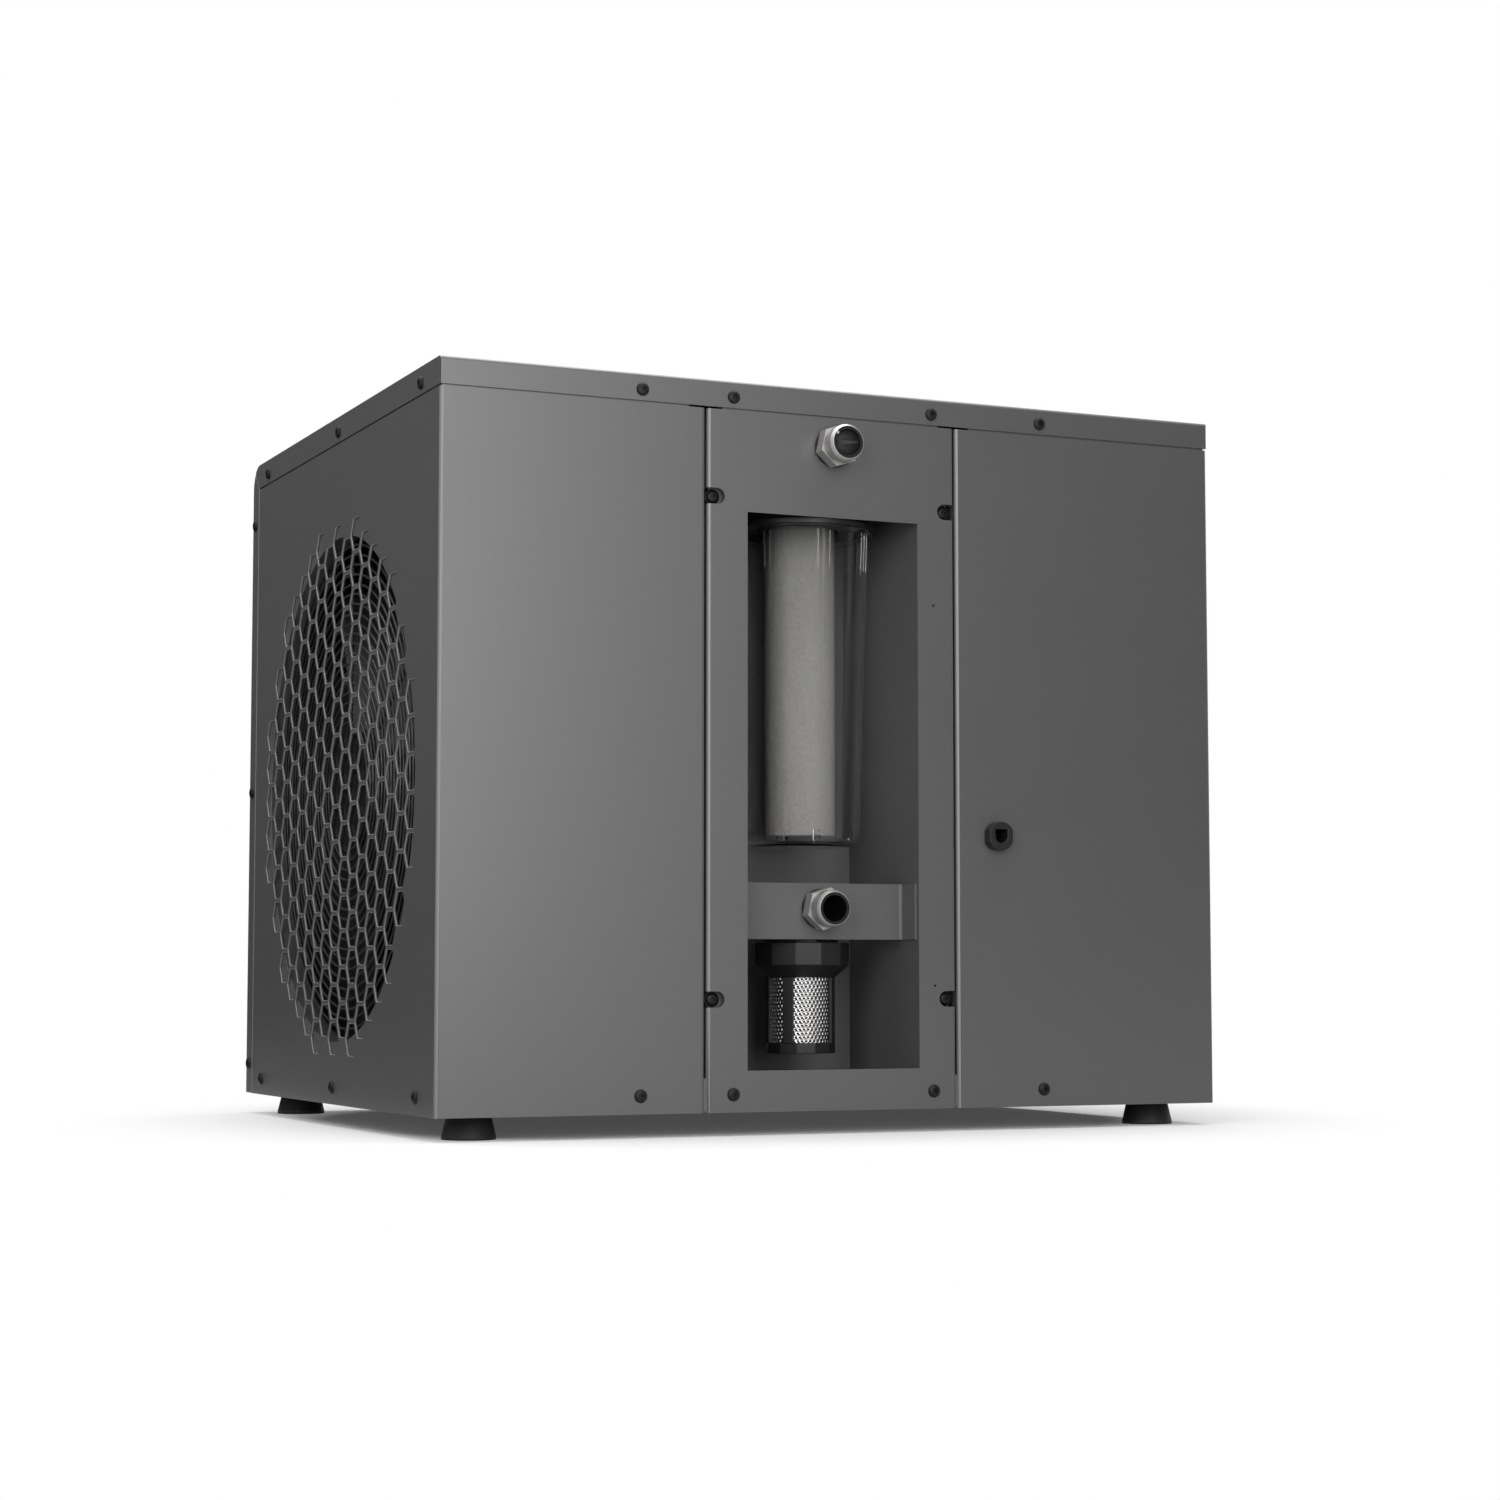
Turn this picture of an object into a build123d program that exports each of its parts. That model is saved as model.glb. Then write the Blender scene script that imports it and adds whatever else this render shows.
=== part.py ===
from build123d import *
from math import cos, hypot, radians, sin, sqrt
import os

# A compact water heat pump: a sheet steel case on four rubber feet, with a fan grille of hexagons
# on its left side and an open filter bay in its front. The front faces -Y and the left side -X.

# The case, over its panels
case_width = 605.5
case_depth = 489.0
case_height = 510.0
sheet = 1.5
bend = 2.5
lap = 12.0
seam = 1.6

# The lid and the rear cover
skirt_height = 19.25
lid_gap = 1.4
rear_strip = 18.4
rear_round = 19.0
mitre_gap = 0.6
corner_slit = 0.5

# The front, measured from the case's left side
left_seam = 194.6
right_seam = 389.9
return_depth = 10.0
window_left = 226.0
window_right = 359.7
window_low = 28.6
window_drop = 91.9
notch_length = 14.0
notch_height = 11.3
notch_low = 77.6
notch_drop = 82.1
vent_hole_radius = 0.9
vent_hole_from_seam = 17.5
vent_hole_low = 86.9
vent_hole_drop = 150.5

# The base pan and the feet
pan_height = 23.7
foot_height = 16.0
foot_inset = 36.0
foot_radius = 18.5
foot_neck_radius = 15.3
foot_rim = 3.0
foot_sink_radius = 8.0
foot_sink_depth = 9.0

# The filter bay behind the window
bay_depth = 112.4
bay_flange_depth = 6.0
bay_flange_inset = 10.0
bay_drop = 64.0
bay_axis_depth = 57.0

# The water fittings, both on the middle of the window
fitting_reach = 24.5
upper_fitting_drop = 41.5
lower_fitting_rise = 21.5
nipple_radius = 13.2
nipple_bore = 9.3
shank_radius = 12.4
nipple_lead = 2.5
nipple_lead_depth = 1.5
nipple_tail = 14.0
nut_across = 27.0
nut_length = 10.2
nut_turn = 18.0
seal_radius = 14.4
seal_width = 2.0
plug_depth = 1.6
plug_length = 8.0
running_gap = 0.2

# The bracket across the bay
bracket_face_depth = 23.5
bracket_low = 119.7
bracket_height = 39.8

# The water filter that hangs in the bay
bowl_top_radius = 50.8
bowl_low_radius = 43.3
bowl_wall = 3.0
bowl_over_bracket = 26.5
bowl_under_window_top = 3.3
bowl_corner = 10.0
bowl_rim_radius = 53.9
bowl_rim_drop = 4.0
bowl_rim_height = 3.0
grip_groups = 8
grip_ribs = 3
grip_step = 5.1
grip_first = -99.6
grip_width = 0.9
grip_radius = 51.4
grip_length = 26.8
fin_count = 8
fin_inner_radius = 28.0
fin_outer_radius = 39.0
fin_width = 1.6
fin_height = 12.0
collar_radius = 54.9
collar_height = 3.2
head_radius = 52.0
head_boss_radius = 17.0
cartridge_radius = 25.3
cartridge_lift = 4.0
cartridge_foot = 2.0

# The strainer under the bracket
strainer_neck_radius = 27.5
strainer_ring_radius = 35.4
strainer_neck_height = 2.2
strainer_ring_height = 15.8
strainer_taper_height = 8.7
cage_radius = 25.3
cage_wall = 2.4
cage_length = 54.2
cage_foot = 7.3
cage_ribs = 4
cage_rib_width = 7.5
mesh_radius = 22.6
mesh_wall = 0.8
strainer_sides = 12

# The fan side, measured from the case's front
grille_before_middle = 4.5
grille_below_middle = 23.0
hexagon_pitch = 26.29
rib_width = 3.3
grille_radius = 192.5
shroud_radius = 186.7
shroud_margin = 6.0
shroud_lip = 14.0
guard_depth = 9.0
guard_wire = 1.8
guard_pitch = 7.29
guard_hub_radius = 46.0
guard_spokes = 6

# The fan, an outer rotor motor on the guard's hub plate with blades round its can
stator_radius = 42.0
stator_length = 8.0
fan_shaft_radius = 8.0
fan_shaft_length = 12.0
fan_running_gap = 5.0
fan_can_radius = 46.0
fan_can_length = 58.0
fan_blades = 5
fan_tip_radius = 176.0
fan_blade_chord = 96.0
fan_blade_camber = 9.0
fan_blade_pitch = 32.0
fan_blade_thickness = 2.4

# The cable gland for the mains lead
gland_from_left = 422.6
gland_height = 194.2
gland_radius = 10.4
gland_across = 19.0
gland_reach = 8.5
gland_mouth = 9.9

# Planes and lines of the case that follow from the sizes above
left = -case_width / 2
right = case_width / 2
front = (fitting_reach - case_depth) / 2
rear = front + case_depth
rear_seam = rear - rear_strip
bottom = foot_height
top = bottom + case_height
skirt_bottom = top - skirt_height
panel_top = skirt_bottom - lid_gap
panel_height = panel_top - bottom
pan_top = bottom + pan_height
behind_front = front + sheet
middle = left + (window_left + window_right) / 2
bay_axis = front + bay_axis_depth

# Heights over the case's foot and depths behind its front that follow from the sizes above
window_high = case_height - window_drop
notch_high = case_height - notch_drop
vent_hole_high = case_height - vent_hole_drop
bay_high = case_height - bay_drop
upper_fitting_height = case_height - upper_fitting_drop
lower_fitting_height = bracket_low + lower_fitting_rise
bracket_high = bracket_low + bracket_height
bowl_low = bracket_high + bowl_over_bracket
bowl_high = window_high - bowl_under_window_top
bowl_rim_low = bowl_high - bowl_rim_drop
grip_low = bowl_rim_low - grip_length
fin_high = bowl_low + fin_height
cartridge_low = bowl_low + bowl_wall + cartridge_lift
strainer_ring_high = bracket_low - strainer_neck_height
strainer_ring_low = strainer_ring_high - strainer_ring_height
cage_high = strainer_ring_low - strainer_taper_height
cage_low = cage_high - cage_length
grille_centre_depth = case_depth / 2 - grille_before_middle
grille_centre_height = case_height / 2 - grille_below_middle

os.makedirs("parts", exist_ok=True)


def save(piece, name):
    """Label a finished piece and write it to its own file."""
    piece.part.label = name
    export_step(piece.part, f"parts/{name}.step")


def fold(*points):
    """Draw the section of a folded sheet whose shown face runs through the points, steel on the left."""
    with BuildLine() as outline:
        FilletPolyline(*points, radius=bend)
        offset(amount=sheet, side=Side.LEFT)
    make_face(outline.edges())


def lid_laps(from_x, to_x):
    """Add the strip behind the lid's front skirt that carries the lid and takes its screws."""
    with BuildSketch(Plane.XY.offset(panel_top - lap)) as strip:
        with Locations((from_x, behind_front)):
            Rectangle(to_x - from_x, sheet, align=(Align.MIN, Align.MIN))
    extrude(strip.sketch, amount=top - bend - panel_top + lap)


def clear_pan(from_x, to_x):
    """Cut the return folds back where the base pan's upstand runs behind the panels."""
    with BuildSketch(Plane.XY.offset(bottom)) as space:
        with Locations((from_x, behind_front)):
            Rectangle(to_x - from_x, return_depth, align=(Align.MIN, Align.MIN))
    extrude(space.sketch, amount=pan_height + running_gap, mode=Mode.SUBTRACT)


# The base pan, an open tray that the panels are screwed to
with BuildPart() as base_pan:
    with BuildSketch(Plane.XY.offset(bottom)):
        with Locations((0, front + case_depth / 2)):
            RectangleRounded(case_width - 2 * sheet, case_depth - 2 * sheet, bend)
    extrude(amount=pan_height)
    fillet(base_pan.faces().sort_by(Axis.Z)[0].edges(), bend - sheet / 2)
    offset(amount=-sheet, openings=base_pan.faces().sort_by(Axis.Z)[-1])
save(base_pan, "base_pan")

# The left panel wraps from the front seam round the near corner to the rear seam
hexagon_step = hexagon_pitch * sqrt(3) / 2
hexagon_radius = (hexagon_pitch - rib_width) / sqrt(3)
grille_plane = Plane(
    origin=(left, front + grille_centre_depth, bottom + grille_centre_height),
    x_dir=(0, 1, 0),
    z_dir=(1, 0, 0),
)
columns = int(grille_radius / hexagon_step)
rows = int(grille_radius / hexagon_pitch) + 1
grille_cells = [
    (column * hexagon_step, (row + column % 2 / 2) * hexagon_pitch)
    for column in range(-columns, columns + 1)
    for row in range(-rows, rows + 1)
    if hypot(column * hexagon_step, (row + column % 2 / 2) * hexagon_pitch) < grille_radius
]
left_edge = left + left_seam - seam / 2
with BuildPart() as left_panel:
    with BuildSketch(Plane.XY.offset(bottom)):
        fold(
            (left, rear_seam - seam / 2),
            (left, front),
            (left_edge, front),
            (left_edge, front + return_depth),
        )
    extrude(amount=panel_height)
    clear_pan(left_edge - 2 * sheet, left_edge)
    with BuildSketch(Plane.XY.offset(panel_top - lap)):
        fold(
            (left + sheet, rear_seam - lap),
            (left + sheet, behind_front),
            (left_edge - lap, behind_front),
        )
    extrude(amount=top - bend - panel_top + lap)
    with BuildSketch(grille_plane):
        with Locations(*grille_cells):
            RegularPolygon(hexagon_radius, 6)
    extrude(amount=sheet, mode=Mode.SUBTRACT)
save(left_panel, "left_panel")

# The service panel in the middle, with the window and the notches that slip over its screws
service_left = left + left_seam + seam / 2
service_right = left + right_seam - seam / 2
with BuildPart() as service_panel:
    with BuildSketch(Plane.XY.offset(bottom)):
        fold(
            (service_left, front + return_depth),
            (service_left, front),
            (service_right, front),
            (service_right, front + return_depth),
        )
    extrude(amount=panel_height)
    clear_pan(service_left, service_left + 2 * sheet)
    clear_pan(service_right - 2 * sheet, service_right)
    lid_laps(service_left + lap, service_right - lap)
    with BuildSketch(Plane.XZ.offset(-front)):
        with Locations(((window_left + window_right) / 2 + left, bottom + (window_low + window_high) / 2)):
            Rectangle(window_right - window_left, window_high - window_low)
        with Locations((middle, bottom + upper_fitting_height)):
            Circle(shank_radius + running_gap)
        with Locations(
            *[
                (left + right_seam - vent_hole_from_seam, bottom + height)
                for height in (vent_hole_low, vent_hole_high)
            ]
        ):
            Circle(vent_hole_radius)
    extrude(amount=-2 * sheet, mode=Mode.SUBTRACT)
    with BuildSketch(Plane.XZ.offset(-front)):
        with Locations(
            *[
                (edge, bottom + height)
                for edge in (left + left_seam, left + right_seam)
                for height in (notch_low, notch_high)
            ]
        ):
            SlotOverall(2 * notch_length, notch_height)
    extrude(amount=-return_depth, mode=Mode.SUBTRACT)
save(service_panel, "service_panel")

# The right panel wraps round the far corner and carries the cable gland
right_edge = left + right_seam + seam / 2
gland_at = (left + gland_from_left, bottom + gland_height)
with BuildPart() as right_panel:
    with BuildSketch(Plane.XY.offset(bottom)):
        fold(
            (right_edge, front + return_depth),
            (right_edge, front),
            (right, front),
            (right, rear_seam - seam / 2),
        )
    extrude(amount=panel_height)
    clear_pan(right_edge, right_edge + 2 * sheet)
    with BuildSketch(Plane.XY.offset(panel_top - lap)):
        fold(
            (right_edge + lap, behind_front),
            (right - sheet, behind_front),
            (right - sheet, rear_seam - lap),
        )
    extrude(amount=top - bend - panel_top + lap)
    with BuildSketch(Plane.XZ.offset(-front)):
        with Locations(gland_at):
            Circle(gland_radius - 2 * sheet)
    extrude(amount=-2 * sheet, mode=Mode.SUBTRACT)
save(right_panel, "right_panel")

# The lid and the rear cover meet on a slant, under one rounded rear edge
mitre_turn = radians(45)
round_centre = (rear - rear_round, top - rear_round)
slant = rear_round * cos(mitre_turn)
slant_end = (round_centre[0] + slant, round_centre[1] + slant)
half_gap = mitre_gap * cos(mitre_turn)
with BuildPart() as top_cover:
    with BuildSketch(Plane.YZ.offset(left)):
        with BuildLine():
            Polyline(
                (rear_seam - half_gap, skirt_bottom),
                (front, skirt_bottom),
                (front, top),
                (round_centre[0], top),
            )
            ThreePointArc(
                (round_centre[0], top),
                (
                    round_centre[0] + rear_round * sin(mitre_turn / 2),
                    round_centre[1] + rear_round * cos(mitre_turn / 2),
                ),
                slant_end,
            )
            Line(slant_end, (rear_seam - half_gap, skirt_bottom))
        make_face()
    extrude(amount=case_width)
    fillet(top_cover.edges().filter_by(Axis.X).filter_by_position(Axis.Z, top - 0.1, top + 0.1)
           .filter_by_position(Axis.Y, front - 0.1, front + 0.1), bend)
    lower_faces = top_cover.faces().filter_by(Axis.Z).sort_by(Axis.Z)[:1]
    slant_faces = top_cover.faces().filter_by(GeomType.PLANE).sort_by(Axis.Y)[-1:]
    offset(amount=-sheet, openings=lower_faces + slant_faces)
    with BuildSketch(Plane.XY.offset(skirt_bottom)):
        with Locations((left + sheet, front + sheet, 0)):
            Rectangle(4 * sheet, corner_slit, rotation=45)
        with Locations((right - sheet, front + sheet, 0)):
            Rectangle(4 * sheet, corner_slit, rotation=-45)
    extrude(amount=skirt_height - bend, mode=Mode.SUBTRACT)
save(top_cover, "top_cover")

with BuildPart() as rear_cover:
    with BuildSketch(Plane.YZ.offset(left)):
        with BuildLine():
            Polyline(
                (rear_seam + half_gap, skirt_bottom),
                (rear_seam + half_gap, bottom),
                (rear, bottom),
                (rear, round_centre[1]),
            )
            ThreePointArc(
                (rear, round_centre[1]),
                (
                    round_centre[0] + rear_round * cos(mitre_turn / 2),
                    round_centre[1] + rear_round * sin(mitre_turn / 2),
                ),
                (slant_end[0] + half_gap, slant_end[1] - half_gap),
            )
            Line(
                (slant_end[0] + half_gap, slant_end[1] - half_gap),
                (rear_seam + half_gap, skirt_bottom),
            )
        make_face()
    extrude(amount=case_width)
    low_faces = rear_cover.faces().filter_by(Axis.Z).sort_by(Axis.Z)[:1]
    front_faces = rear_cover.faces().filter_by(Axis.Y).sort_by(Axis.Y)[:1]
    mitre_faces = rear_cover.faces().filter_by(GeomType.PLANE).filter_by(Plane.YZ, reverse=True).sort_by(Axis.Z)[-1:]
    offset(amount=-sheet, openings=low_faces + front_faces + mitre_faces)
save(rear_cover, "rear_cover")

# The bay liner, a folded hat section with a floor and a ceiling, behind the window
flange_left = service_left + 2 * sheet
flange_right = service_right - 2 * sheet
bay_left = left + window_left
bay_right = left + window_right
bay_back = front + bay_depth
flange_face = front + bay_flange_depth
with BuildPart() as bay_liner:
    with BuildSketch(Plane.XY.offset(pan_top)):
        with BuildLine() as hat:
            Polyline(
                (flange_left, flange_face),
                (bay_left - bay_flange_inset, flange_face),
                (bay_left - bay_flange_inset, behind_front),
                (bay_left, behind_front),
                (bay_left, bay_back),
                (bay_right, bay_back),
                (bay_right, behind_front),
                (bay_right + bay_flange_inset, behind_front),
                (bay_right + bay_flange_inset, flange_face),
                (flange_right, flange_face),
            )
            offset(amount=sheet, side=Side.LEFT, kind=Kind.INTERSECTION)
        make_face()
    extrude(amount=bottom + bay_high + sheet - pan_top)
    with BuildSketch(Plane.XY.offset(pan_top)):
        with Locations((middle, behind_front)):
            Rectangle(window_right - window_left, bay_back - behind_front, align=(Align.CENTER, Align.MIN))
    extrude(amount=sheet)
    with BuildSketch(Plane.XY.offset(bottom + bay_high)):
        with Locations((middle, behind_front)):
            Rectangle(window_right - window_left, bay_back - behind_front, align=(Align.CENTER, Align.MIN))
    extrude(amount=sheet)
save(bay_liner, "bay_liner")

# The bracket across the bay, its ends folded forward along the bay's walls
bracket_face = front + bracket_face_depth
with BuildPart() as bracket:
    with BuildSketch(Plane.XY.offset(bottom + bracket_low)):
        fold(
            (bay_left + sheet + running_gap, behind_front + sheet),
            (bay_left + sheet + running_gap, bracket_face),
            (bay_right - sheet - running_gap, bracket_face),
            (bay_right - sheet - running_gap, behind_front + sheet),
        )
    extrude(amount=bracket_high - bracket_low)
    with BuildSketch(Plane.XZ.offset(-bracket_face)):
        with Locations((middle, bottom + lower_fitting_height)):
            Circle(shank_radius + running_gap)
    extrude(amount=-2 * sheet, mode=Mode.SUBTRACT)
save(bracket, "bracket")

# The two water fittings, each a nipple through a sheet with a nut that presses a rubber seal on it
fittings = {"upper": (front, upper_fitting_height), "lower": (bracket_face, lower_fitting_height)}
nut_back = seal_width
nut_front = seal_width + nut_length
for place, (face, height) in fittings.items():
    axis = (middle, bottom + height)
    tip = face - fitting_reach
    with BuildPart() as nipple:
        with BuildSketch(Plane.XZ.offset(-tip)):
            with Locations(axis):
                Circle(nipple_radius)
        extrude(amount=-(fitting_reach - nut_front))
        chamfer(nipple.faces().sort_by(Axis.Y)[0].edges(), nipple_lead, nipple_lead_depth)
        with BuildSketch(Plane.XZ.offset(-face + nut_front)):
            with Locations(axis):
                Circle(shank_radius)
        extrude(amount=-(nut_front + sheet + nipple_tail))
        with BuildSketch(Plane.XZ.offset(-tip)):
            with Locations(axis):
                Circle(nipple_bore)
        extrude(amount=-(fitting_reach + sheet + nipple_tail), mode=Mode.SUBTRACT)
    save(nipple, f"{place}_nipple")
    with BuildPart() as nut:
        with BuildSketch(Plane.XZ.offset(-face + nut_back)):
            with Locations(axis):
                RegularPolygon(nut_across / 2, 6, major_radius=False, rotation=nut_turn)
                Circle(shank_radius, mode=Mode.SUBTRACT)
        extrude(amount=nut_length)
    save(nut, f"{place}_nut")
    with BuildPart() as seal:
        with BuildSketch(Plane.XZ.offset(-face)):
            with Locations(axis):
                Circle(seal_radius)
                Circle(shank_radius, mode=Mode.SUBTRACT)
        extrude(amount=seal_width)
    save(seal, f"{place}_seal")

# The rubber plug in the mouth of the upper fitting
with BuildPart() as upper_plug:
    with BuildSketch(Plane.XZ.offset(-(front - fitting_reach + plug_depth))):
        with Locations((middle, bottom + upper_fitting_height)):
            Circle(nipple_bore)
    extrude(amount=-plug_length)
save(upper_plug, "upper_plug")

# The water filter: a clear bowl screwed up into a collar and head, with the cartridge inside
bay_plane = Plane.XY.offset(bottom)
bowl_axis = Axis((middle, bay_axis, 0), (0, 0, 1))
bowl_plane = Plane(origin=(middle, bay_axis, bottom), x_dir=(1, 0, 0), z_dir=(0, -1, 0))
with BuildPart() as filter_bowl:
    with BuildSketch(bowl_plane):
        with BuildLine():
            Polyline(
                (0, bowl_low),
                (bowl_low_radius, bowl_low),
                (bowl_top_radius, bowl_high),
                (0, bowl_high),
                close=True,
            )
        make_face()
    revolve(axis=bowl_axis)
    fillet(filter_bowl.faces().sort_by(Axis.Z)[0].edges(), bowl_corner)
    offset(amount=-bowl_wall, openings=filter_bowl.faces().sort_by(Axis.Z)[-1])
    with BuildSketch(bay_plane.offset(bowl_rim_low)):
        with Locations((middle, bay_axis)):
            Circle(bowl_rim_radius)
            Circle(bowl_top_radius - bowl_wall / 2, mode=Mode.SUBTRACT)
    extrude(amount=bowl_rim_height)
    with BuildSketch(bay_plane.offset(grip_low)):
        with Locations((middle, bay_axis)):
            for rib in range(grip_ribs):
                with PolarLocations(grip_radius, grip_groups, start_angle=grip_first + rib * grip_step):
                    Rectangle(bowl_wall, grip_width, align=(Align.MAX, Align.CENTER))
    extrude(amount=bowl_rim_low - grip_low)
    with BuildSketch(bay_plane.offset(bowl_low + bowl_wall / 2)):
        with Locations((middle, bay_axis)):
            with PolarLocations(fin_inner_radius, fin_count, start_angle=grip_first + grip_step):
                Rectangle(fin_outer_radius - fin_inner_radius, fin_width, align=(Align.MIN, Align.CENTER))
    extrude(amount=fin_high - bowl_low - bowl_wall / 2)
save(filter_bowl, "filter_bowl")

with BuildPart() as filter_collar:
    with BuildSketch(bay_plane.offset(bowl_high)):
        with Locations((middle, bay_axis)):
            Circle(collar_radius)
            Circle(cartridge_radius + bowl_wall, mode=Mode.SUBTRACT)
    extrude(amount=collar_height)
save(filter_collar, "filter_collar")

head_low = bowl_high + collar_height
with BuildPart() as filter_head:
    with BuildSketch(bay_plane.offset(head_low)):
        with Locations((middle, bay_axis)):
            Circle(head_radius)
    extrude(amount=bay_high - head_low)
    fillet(filter_head.faces().sort_by(Axis.Z)[-1].edges(), bend)
save(filter_head, "filter_head")

with BuildPart() as filter_cartridge:
    with BuildSketch(bay_plane.offset(cartridge_low)):
        with Locations((middle, bay_axis)):
            Circle(cartridge_radius)
    extrude(amount=head_low - cartridge_low)
    fillet(filter_cartridge.faces().sort_by(Axis.Z)[0].edges(), cartridge_foot)
save(filter_cartridge, "filter_cartridge")

# The elbow behind the bracket leads the lower fitting down into the strainer
with BuildPart() as elbow:
    with BuildSketch(Plane.XZ.offset(-(bracket_face + sheet))):
        with Locations((middle, bottom + lower_fitting_height)):
            Circle(head_boss_radius)
    extrude(amount=-(bay_axis - bracket_face - sheet))
    with BuildSketch(bay_plane.offset(strainer_ring_high)):
        with Locations((middle, bay_axis)):
            Circle(head_boss_radius)
    extrude(amount=lower_fitting_height - strainer_ring_high)
    with Locations((middle, bay_axis, bottom + lower_fitting_height)):
        Sphere(head_boss_radius)
    with BuildSketch(Plane.XZ.offset(-(bracket_face + sheet))):
        with Locations((middle, bottom + lower_fitting_height)):
            Circle(shank_radius)
    extrude(amount=-nipple_tail, mode=Mode.SUBTRACT)
save(elbow, "elbow")

# The strainer: a cap of twelve sides, a ribbed cage and a sleeve of perforated steel
with BuildPart() as strainer_cap:
    with BuildSketch(bay_plane.offset(strainer_ring_low)):
        with Locations((middle, bay_axis)):
            RegularPolygon(strainer_ring_radius, strainer_sides)
    extrude(amount=strainer_ring_high - strainer_ring_low)
    with BuildSketch(bay_plane.offset(strainer_ring_low)):
        with Locations((middle, bay_axis)):
            RegularPolygon(strainer_ring_radius, strainer_sides)
    with BuildSketch(bay_plane.offset(cage_high)):
        with Locations((middle, bay_axis)):
            RegularPolygon(cage_radius, strainer_sides)
    loft()
    with BuildSketch(bay_plane.offset(strainer_ring_high)):
        with Locations((middle, bay_axis)):
            RegularPolygon(strainer_neck_radius, strainer_sides)
            Circle(head_boss_radius, mode=Mode.SUBTRACT)
    extrude(amount=bracket_low - strainer_ring_high)
save(strainer_cap, "strainer_cap")

with BuildPart() as strainer_cage:
    with BuildSketch(bay_plane.offset(cage_low)):
        with Locations((middle, bay_axis)):
            RegularPolygon(cage_radius, strainer_sides)
    extrude(amount=cage_foot)
    with BuildSketch(bay_plane.offset(cage_low + cage_foot)):
        with Locations((middle, bay_axis)):
            with PolarLocations(cage_radius - cage_wall / 2, cage_ribs, start_angle=180 / cage_ribs):
                Rectangle(cage_wall, cage_rib_width)
    extrude(amount=cage_high - cage_low - cage_foot)
save(strainer_cage, "strainer_cage")

with BuildPart() as strainer_mesh:
    with BuildSketch(bay_plane.offset(cage_low + cage_foot)):
        with Locations((middle, bay_axis)):
            Circle(mesh_radius)
            Circle(mesh_radius - mesh_wall, mode=Mode.SUBTRACT)
    extrude(amount=cage_high - cage_low - cage_foot)
save(strainer_mesh, "strainer_mesh")

# The fan shroud, a plate close behind the grille with a round mouth and a lip that holds the guard
shroud_plane = grille_plane.offset(sheet)
shroud_reach = grille_radius + hexagon_radius + shroud_margin
shroud_drop = grille_centre_height - pan_height
with BuildPart() as fan_shroud:
    with BuildSketch(shroud_plane):
        with Locations((0, -shroud_drop)):
            Rectangle(2 * shroud_reach, shroud_drop + shroud_reach, align=(Align.CENTER, Align.MIN))
        Circle(shroud_radius, mode=Mode.SUBTRACT)
    extrude(amount=sheet)
    with BuildSketch(shroud_plane):
        Circle(shroud_radius + sheet)
        Circle(shroud_radius, mode=Mode.SUBTRACT)
    extrude(amount=shroud_lip)
save(fan_shroud, "fan_shroud")

# The fan guard: a wire wound in a spiral from a hub plate, on spokes that reach the shroud's lip
guard_plane = grille_plane.offset(guard_depth)
half_turns = int(2 * (shroud_radius - guard_hub_radius) / guard_pitch)
with BuildPart() as fan_guard:
    with BuildSketch(guard_plane):
        with BuildLine():
            for half in range(half_turns):
                around = guard_hub_radius + half * guard_pitch / 2
                centre = (guard_pitch / 4 if half % 2 else -guard_pitch / 4, 0)
                CenterArc(centre, around + guard_wire / 2, -180 * half, -180)
                CenterArc(centre, around - guard_wire / 2, -180 * half, -180)
            start = -guard_pitch / 4 + guard_hub_radius
            Line((start - guard_wire / 2, 0), (start + guard_wire / 2, 0))
            last = guard_hub_radius + (half_turns - 1) * guard_pitch / 2
            end = guard_pitch / 4 + last if half_turns % 2 == 0 else -guard_pitch / 4 - last
            Line((end - guard_wire / 2, 0), (end + guard_wire / 2, 0))
        make_face()
    extrude(amount=guard_wire)
    with BuildSketch(guard_plane):
        Circle(guard_hub_radius)
    extrude(amount=guard_wire)
    with BuildSketch(guard_plane.offset(guard_wire)):
        with PolarLocations(0, guard_spokes, start_angle=90):
            Rectangle(shroud_radius - running_gap, 2 * guard_wire, align=(Align.MIN, Align.CENTER))
    extrude(amount=guard_wire)
save(fan_guard, "fan_guard")

# The outer rotor motor: its stator on the guard's hub plate, its shaft into the fan's can
stator_plane = guard_plane.offset(2 * guard_wire)
with BuildPart() as fan_motor:
    with BuildSketch(stator_plane):
        Circle(stator_radius)
    extrude(amount=stator_length)
    with BuildSketch(stator_plane):
        Circle(fan_shaft_radius)
    extrude(amount=stator_length + fan_shaft_length)
save(fan_motor, "fan_motor")

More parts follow.
